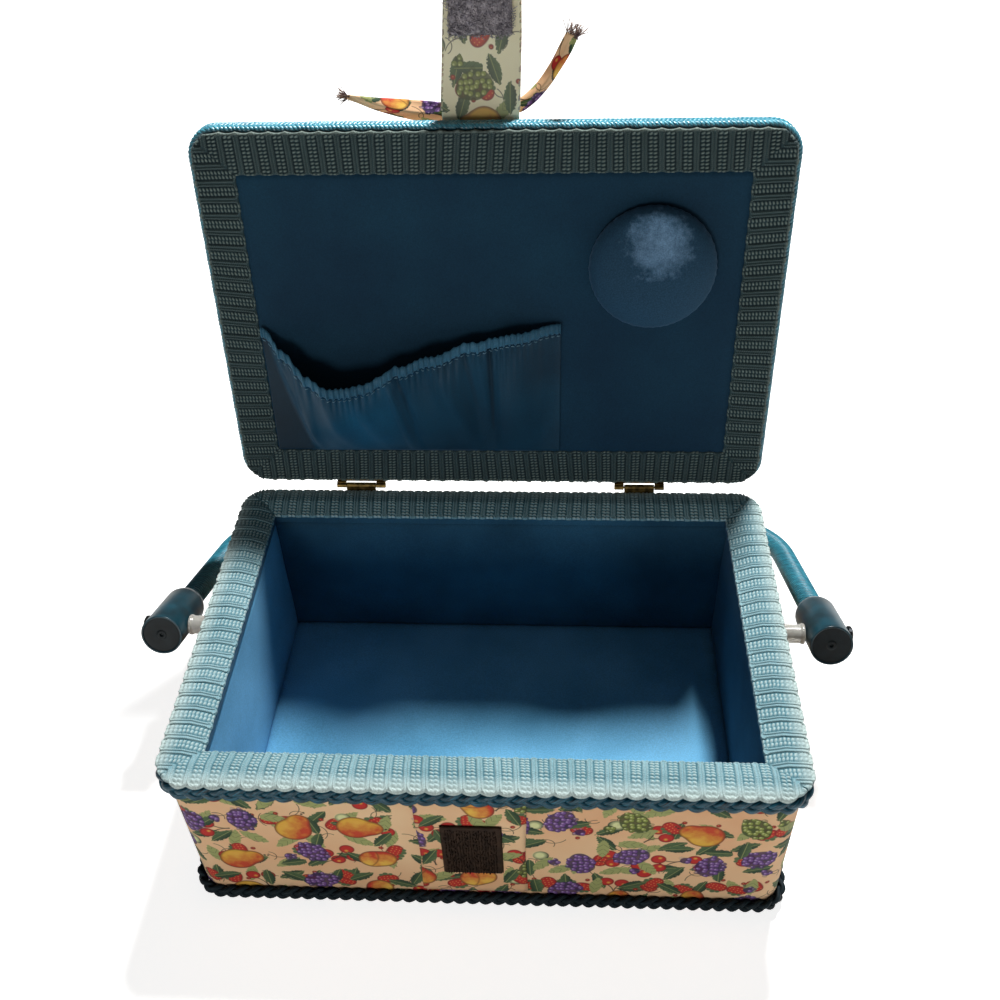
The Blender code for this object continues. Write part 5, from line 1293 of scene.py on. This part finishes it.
# Hook patch on the front band and loop patch on the strap

def slab(low, high, cells=(14, 14), rough=0.12 * mm, seed=1):
    # A thin closed pad with an uneven top, flat on its lower face
    u, v = np.meshgrid(np.linspace(low[0], high[0], cells[0]), np.linspace(low[1], high[1], cells[1]))
    rise = edgeRound(np.minimum.reduce([u - low[0], high[0] - u, v - low[1], high[1] - v]), 0.6 * mm)
    top = low[2] + (high[2] - low[2]) * rise + rough * ripple(u, v, 5 * mm, seed) * rise
    return [gridShape(np.stack([u, v, np.where(rise > 0, top, low[2])], -1)),
            gridShape(np.stack([u, v, 0 * u + low[2]], -1))]


def tuft(base, tall, lean, thick):  # one small loop of nylon standing on the tape
    share = np.linspace(0, math.pi, 5)[:, None]
    path = base + np.array([0, 0, 1.0]) * tall * np.sin(share) + lean * (1 - np.cos(share)) / 2
    return sweep(path, np.array([lean[1], -lean[0], 0.01]), thick, 4)


hookLow, hookHigh = reach("hook_patch")
toFront = lambda points: np.stack(  # the patch is drawn lying flat, then stood up on the front
    [points[..., 0], hookHigh[1] - points[..., 2], points[..., 1]], -1)
draw = np.random.default_rng(6)
flatLow = np.array([hookLow[0], hookLow[2], 0])
flatHigh = np.array([hookHigh[0], hookHigh[2], 0.9 * mm])
shapes = slab(flatLow, flatHigh, (30, 40), 0.06 * mm)
deep = hookHigh[1] - hookLow[1]
for column in np.arange(flatLow[0] + 2.2 * mm, flatHigh[0] - 2 * mm, 1.15 * mm):
    for row in np.arange(flatLow[1] + 2 * mm, flatHigh[1] - 1.8 * mm, 1.35 * mm):
        base = np.array([column, row, 0.75 * mm]) + draw.normal(0, 0.12 * mm, 3) * [1, 1, 0]
        lean = np.array([draw.normal(0, 0.25), draw.choice((-1, 1)) * 0.9, 0]) * mm
        shapes.append(tuft(base, (deep - 0.75 * mm) * draw.uniform(0.55, 0.95), lean, 0.17 * mm))
hookPatch = weld(meshOf("hook tape", shapes, toFront), 0.005 * mm)
addPiece("hook tape", hookPatch, hookTape, "box", "hook_tape", "hook_patch")

loopLow, loopHigh = reach("loop_patch", True)
toStrap = lambda points: onLid(np.stack(  # drawn facing up, then turned under the strap
    [points[..., 0], points[..., 1], loopHigh[2] - points[..., 2]], -1))
flatLow = np.array([loopLow[0], loopLow[1], 0])
flatHigh = np.array([loopHigh[0], loopHigh[1], 1.0 * mm])
shapes = slab(flatLow, flatHigh, (30, 30), 0.25 * mm, 4)
deep = loopHigh[2] - loopLow[2]
for index in range(1500):
    share = draw.uniform(-0.02, 1.02, 2)
    base = np.array([*(flatLow[:2] + (flatHigh - flatLow)[:2] * share), 0.7 * mm])
    angle = draw.uniform(0, turn)
    lean = np.array([math.cos(angle), math.sin(angle), 0]) * draw.uniform(0.6, 2.2) * mm
    shapes.append(tuft(base, (deep - 0.7 * mm) * draw.uniform(0.3, 0.95), lean, 0.13 * mm))
loopPatch = weld(meshOf("loop tape", shapes, toStrap), 0.005 * mm)
addPiece("loop tape", loopPatch, loopTape, "strap", "loop_tape", "loop_patch")


# Closure strap: two layers of print, turned in and stitched round the edge

strapLow, strapHigh = reach("closure_strap", True)
strapLook = {"width": 34 * mm, "hem": 2.6 * mm, "edge": 1.1 * mm, "middle": 0.75 * mm}
reachAlong = strapHigh[1] - strapLow[1]
rows = np.linspace(0, 1, 60)[:, None]
cols = np.linspace(0, 1, 36)[None]
leftShare = np.interp(rows, (0, .5, .84, .97, 1), (-.5, -.44, -.40, -.27, -.24))
rightShare = np.interp(rows, (0, .55, .84, .97, 1), (.5, .53, .53, .34, .30))
x = middleX + strapLook["width"] * (leftShare + (rightShare - leftShare) * cols)
y = strapHigh[1] - reachAlong * rows + 0 * x
inside = np.minimum(np.minimum(cols, 1 - cols) * strapLook["width"], (1 - rows) * reachAlong) + 0 * x
inside = np.minimum(inside, rows * reachAlong + 1 * mm)
hemmed = np.where(inside < strapLook["hem"], strapLook["edge"], strapLook["middle"])
thick = hemmed * edgeRound(inside, 0.5 * mm) * 0.5
wave = 0.35 * mm * ripple(x, y, 26 * mm, 12)
middleZ = (strapLow[2] + strapHigh[2]) / 2
places = np.stack([x / mm + 2431, y / mm + 713, 0 * x], -1)
front = gridShape(np.stack([x, y, middleZ - thick + wave], -1), places)
back = gridShape(np.stack([x, y, middleZ + thick + wave], -1), places + [[[60, 90, 0]]])
strap = weld(meshOf("strap", [front, back], onLid))
addPiece("strap cloth", strap, strapCotton, "strap", "printed_cotton", "closure_strap")

# The strap's root: print that runs on from the crown of the lid and bends where the strap folds
rootLine = smoothLine([
    (9 * mm - coverY, crownHeight(0, 9 * mm - coverY) + 1.4 * mm),
    (1 * mm - coverY, crownHeight(0, 1 * mm - coverY) + 1.2 * mm),
    (strapHigh[1] + 1 * mm, middleZ + 0.3 * mm), (strapHigh[1] - 6 * mm, middleZ + 0.2 * mm)], 8)
rootLine = rootLine[:, :, None] + 0 * cols
x = middleX + strapLook["width"] * (cols - 0.5) * 0.97 + 0 * rootLine[:, 0]
root = np.stack([x, rootLine[:, 0], rootLine[:, 1]], -1)
places = np.stack([x / mm + 2431, root[..., 1] / mm + 713, 0 * x], -1)
rootMesh = meshOf("strap root", [gridShape(root, places)], onLid)
rootMesh.materials.append(strapCotton)
strapRoot = bpy.data.objects.new("strap-root", rootMesh)
bpy.context.scene.collection.objects.link(strapRoot)
thicken(strapRoot, 0.6 * mm, 0.0)
bendTo = onLid(np.array([middleX, strapHigh[1] - 3.5 * mm, middleZ]))
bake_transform(strapRoot)

knotLow, knotHigh = reach("bow_knot", True)
knotMiddle = (knotLow + knotHigh) / 2
knotHalf = (knotHigh - knotLow) / 2
share = np.linspace(-1, 1, 41)[:, None]
around = (turn * np.arange(72) / 72)[None]
round1 = (1 - np.abs(share) ** 3.2) ** 0.4 * (1 - 0.06 * np.cos(4 * share))
creases = 1 - 0.05 * np.abs(np.sin(around * 4.5 + 2.2 * share)) - 0.04 * np.abs(
    np.sin(around * 2 - 3 * share))
knot = np.stack([knotMiddle[0] + knotHalf[0] * share + 0 * around,
                 knotMiddle[1] + knotHalf[1] * round1 * creases * np.cos(around),
                 knotMiddle[2] + knotHalf[2] * round1 * creases * np.sin(around)], -1)
places = np.stack([share * 8 + 0 * around + 3000, around * 5 + 0 * share + 200, 0 * knot[..., 0]], -1)
knotMesh = facesOut(meshOf("knot", [gridShape(knot, places, roundCols=True, capped=True)], onLid))
addPiece("bow knot", knotMesh, cotton, "strap", "printed_cotton", "bow_knot")

# Bow ends, each folded along its middle: shares of the length out, ahead and up, and of the width
tailLook = {
    "left": {"length": 50 * mm, "sign": -1, "line": (
        (0, -.06, 0, .35), (.10, -.22, .04, .7), (.28, -.25, .05, 1), (.50, -.22, .03, .9),
        (.72, -.17, 0, .62), (.88, -.12, -.02, .34), (.97, -.10, -.02, .2))},
    "right": {"length": 37 * mm, "sign": 1, "line": (
        (0, -.10, 0, .35), (.15, -.27, .04, .6), (.30, -.22, .06, .62), (.48, -.05, .05, .6),
        (.64, .18, .04, .6), (.74, .36, .02, .66), (.81, .50, 0, .6))},
    "width": 8.6 * mm, "layer": 0.55 * mm, "fold": 0.32,
}
for side in ("left", "right"):
    look = tailLook[side]
    shares = smoothLine(np.array(look["line"]), 9)
    root = knotMiddle + np.array([look["sign"] * (knotHalf[0] + 1.1 * mm), 0, 0])
    spots = root + look["length"] * np.stack(
        [look["sign"] * shares[:, 0], -shares[:, 1], shares[:, 2]], 1)
    ahead = unit(np.gradient(spots, axis=0))
    sideways = unit(np.cross(ahead, np.array([0, 0, 1.0])))
    above = np.cross(sideways, ahead)
    above = above * np.sign(above[:, 2:])
    widths = tailLook["width"] * shares[:, 3]
    across = np.concatenate([np.linspace(-1, 1, 13), np.linspace(1, -1, 13)])[None]
    layer = np.concatenate([np.ones(13), -np.ones(13)])[None] * tailLook["layer"]
    bend = (np.abs(across) - 0.5) * tailLook["fold"] * widths[:, None]
    curl = 0.5 * mm * np.sin(3 * across + np.arange(len(spots))[:, None] / 6)
    folded = (spots[:, None] + sideways[:, None] * (across * widths[:, None] / 2)[..., None]
              + above[:, None] * (bend + layer + curl)[..., None])
    steps = np.concatenate([[0], np.cumsum(np.linalg.norm(np.diff(spots, axis=0), axis=1))])
    places = np.stack([steps[:, None] / mm + 0 * across + 3333, across * widths[:, None] / mm + 97,
                       0 * across * steps[:, None]], -1)
    tail = facesOut(meshOf("tail " + side, [
        gridShape(folded, places, roundCols=True, capped=True)], onLid))
    addPiece("bow end " + side, tail, cotton, "strap", "printed_cotton", "bow_tail_" + side)
    # Cut threads at the end
    threads = []
    for index in range(60):
        place = draw.uniform(-1, 1)
        start = spots[-1] + sideways[-1] * place * widths[-1] / 2
        length = draw.uniform(2.0, 5.0) * mm
        bendTo = ahead[-1] + sideways[-1] * draw.normal(0, 0.5) + above[-1] * draw.normal(0, 0.5)
        line = start + np.linspace(-0.2, 1, 5)[:, None] * length * bendTo
        threads.append(sweep(line, above[-1], 0.13 * mm, 4))
    fray = facesOut(meshOf("fray " + side, threads, onLid))
    addPiece("frayed threads " + side, fray, frayThread, "strap", "printed_cotton")
print("strap and bow sewn")


# Finishes of the frame's own parts

def dress(finish, *nodes):
    for node in nodes:
        mesh = frame["nodes"][node].data
        mesh.materials.clear()
        mesh.materials.append(finish)


boxSides = ("front", "back", "left", "right")
dress(backing, "base_sheet")
dress(hardboard, "base_board", "lid_board", *("wall_board_" + side for side in boxSides))
dress(wallLining, *("rim_rail_" + side for side in boxSides))
dress(lidLining, "pincushion_card")
dress(corePlastic, "handle_core")
for side in ("left", "right"):
    dress(brass, "hinge_leaf_box_" + side, "hinge_leaf_lid_" + side, "hinge_pin_" + side)
    dress(darkSteel, "pivot_screw_" + side, "pivot_nut_" + side)
print("frame parts finished")


# Floor, world and lamps at a plain level; floor and world show white to the camera

stageLook = {"floor": 5.0, "floorColour": "#E9E9E7", "floorGlow": 0.8, "ambient": 0.07,
             "keyPlace": (0.26, 0.62, 1.42), "keySize": 0.17, "keyPower": 31.0,
             "fillPlace": (-0.25, -1.3, 0.24), "fillSize": 0.4, "fillPower": 4.1}


def seenDirectly(tree):  # 1 for rays from the camera, and for those that pass on through glass
    camera, through = addNode(tree, "LightPath", out=("Is Camera Ray", "Is Transmission Ray"))
    return addNode(tree, "Math", [camera, through], operation="MAXIMUM")


half = stageLook["floor"] / 2
floorMesh = bpy.data.meshes.new("floor")
floorMesh.from_pydata([(-half, -half, 0), (half, -half, 0), (half, half, 0), (-half, half, 0)], [],
                      [(0, 1, 2, 3)])
floor = bpy.data.objects.new("floor", floorMesh)
bpy.context.scene.collection.objects.link(floor)
floorFinish = newMaterial("matt white paper")
tree = floorFinish.node_tree
matt = addNode(tree, "BsdfDiffuse", [paint(stageLook["floorColour"])])
glow = addNode(tree, "Math", [seenDirectly(tree), stageLook["floorGlow"]], operation="MULTIPLY")
light = addNode(tree, "Emission", [(1, 1, 1, 1), glow])
addNode(tree, "OutputMaterial", [addNode(tree, "AddShader", [matt, light])])
floorMesh.materials.append(floorFinish)

world = bpy.data.worlds.new("studio")
bpy.context.scene.world = world
world.use_nodes = True
tree = world.node_tree
tree.nodes.clear()
strength = addNode(tree, "MapRange", [seenDirectly(tree), 0.0, 1.0, stageLook["ambient"], 1.0])
sky = addNode(tree, "Background", [(1, 1, 1, 1), strength])
addNode(tree, "OutputWorld", [sky])


def addLamp(name, place, size, power):
    lamp = bpy.data.lights.new(name, "AREA")
    lamp.shape = "DISK"
    lamp.size = size
    lamp.energy = power
    made = bpy.data.objects.new(name, lamp)
    bpy.context.scene.collection.objects.link(made)
    made.location = place
    aim = Vector((0, 0, 0.06)) - made.location
    made.rotation_euler = aim.to_track_quat("-Z", "Y").to_euler()


addLamp("overhead softbox", stageLook["keyPlace"], stageLook["keySize"], stageLook["keyPower"])
addLamp("front fill", stageLook["fillPlace"], stageLook["fillSize"], stageLook["fillPower"])


# Camera at the photograph's viewing angle, for a square image

cameraLook = {"place": (0.0295, -0.3224, 0.4502), "yaw": -4.08, "pitch": 41.57, "roll": -2.2,
              "lens": 38.5, "sensor": 36.0}
yaw, pitch, roll = (math.radians(cameraLook[name]) for name in ("yaw", "pitch", "roll"))
ahead = Vector((math.sin(yaw) * math.cos(pitch), math.cos(yaw) * math.cos(pitch), -math.sin(pitch)))
right = Vector((math.cos(yaw), -math.sin(yaw), 0))
above = right.cross(ahead)
rolledRight = right * math.cos(roll) + above * math.sin(roll)
rolledUp = above * math.cos(roll) - right * math.sin(roll)
lens = bpy.data.cameras.new("camera")
lens.lens = cameraLook["lens"]
lens.sensor_width = cameraLook["sensor"]
lens.clip_start = 0.01
camera = bpy.data.objects.new("camera", lens)
bpy.context.scene.collection.objects.link(camera)
camera.matrix_world = Matrix.Translation(cameraLook["place"]) @ Matrix(
    (rolledRight, rolledUp, -ahead)).transposed().to_4x4()
bpy.context.scene.camera = camera
bpy.context.scene.view_settings.view_transform = "Standard"
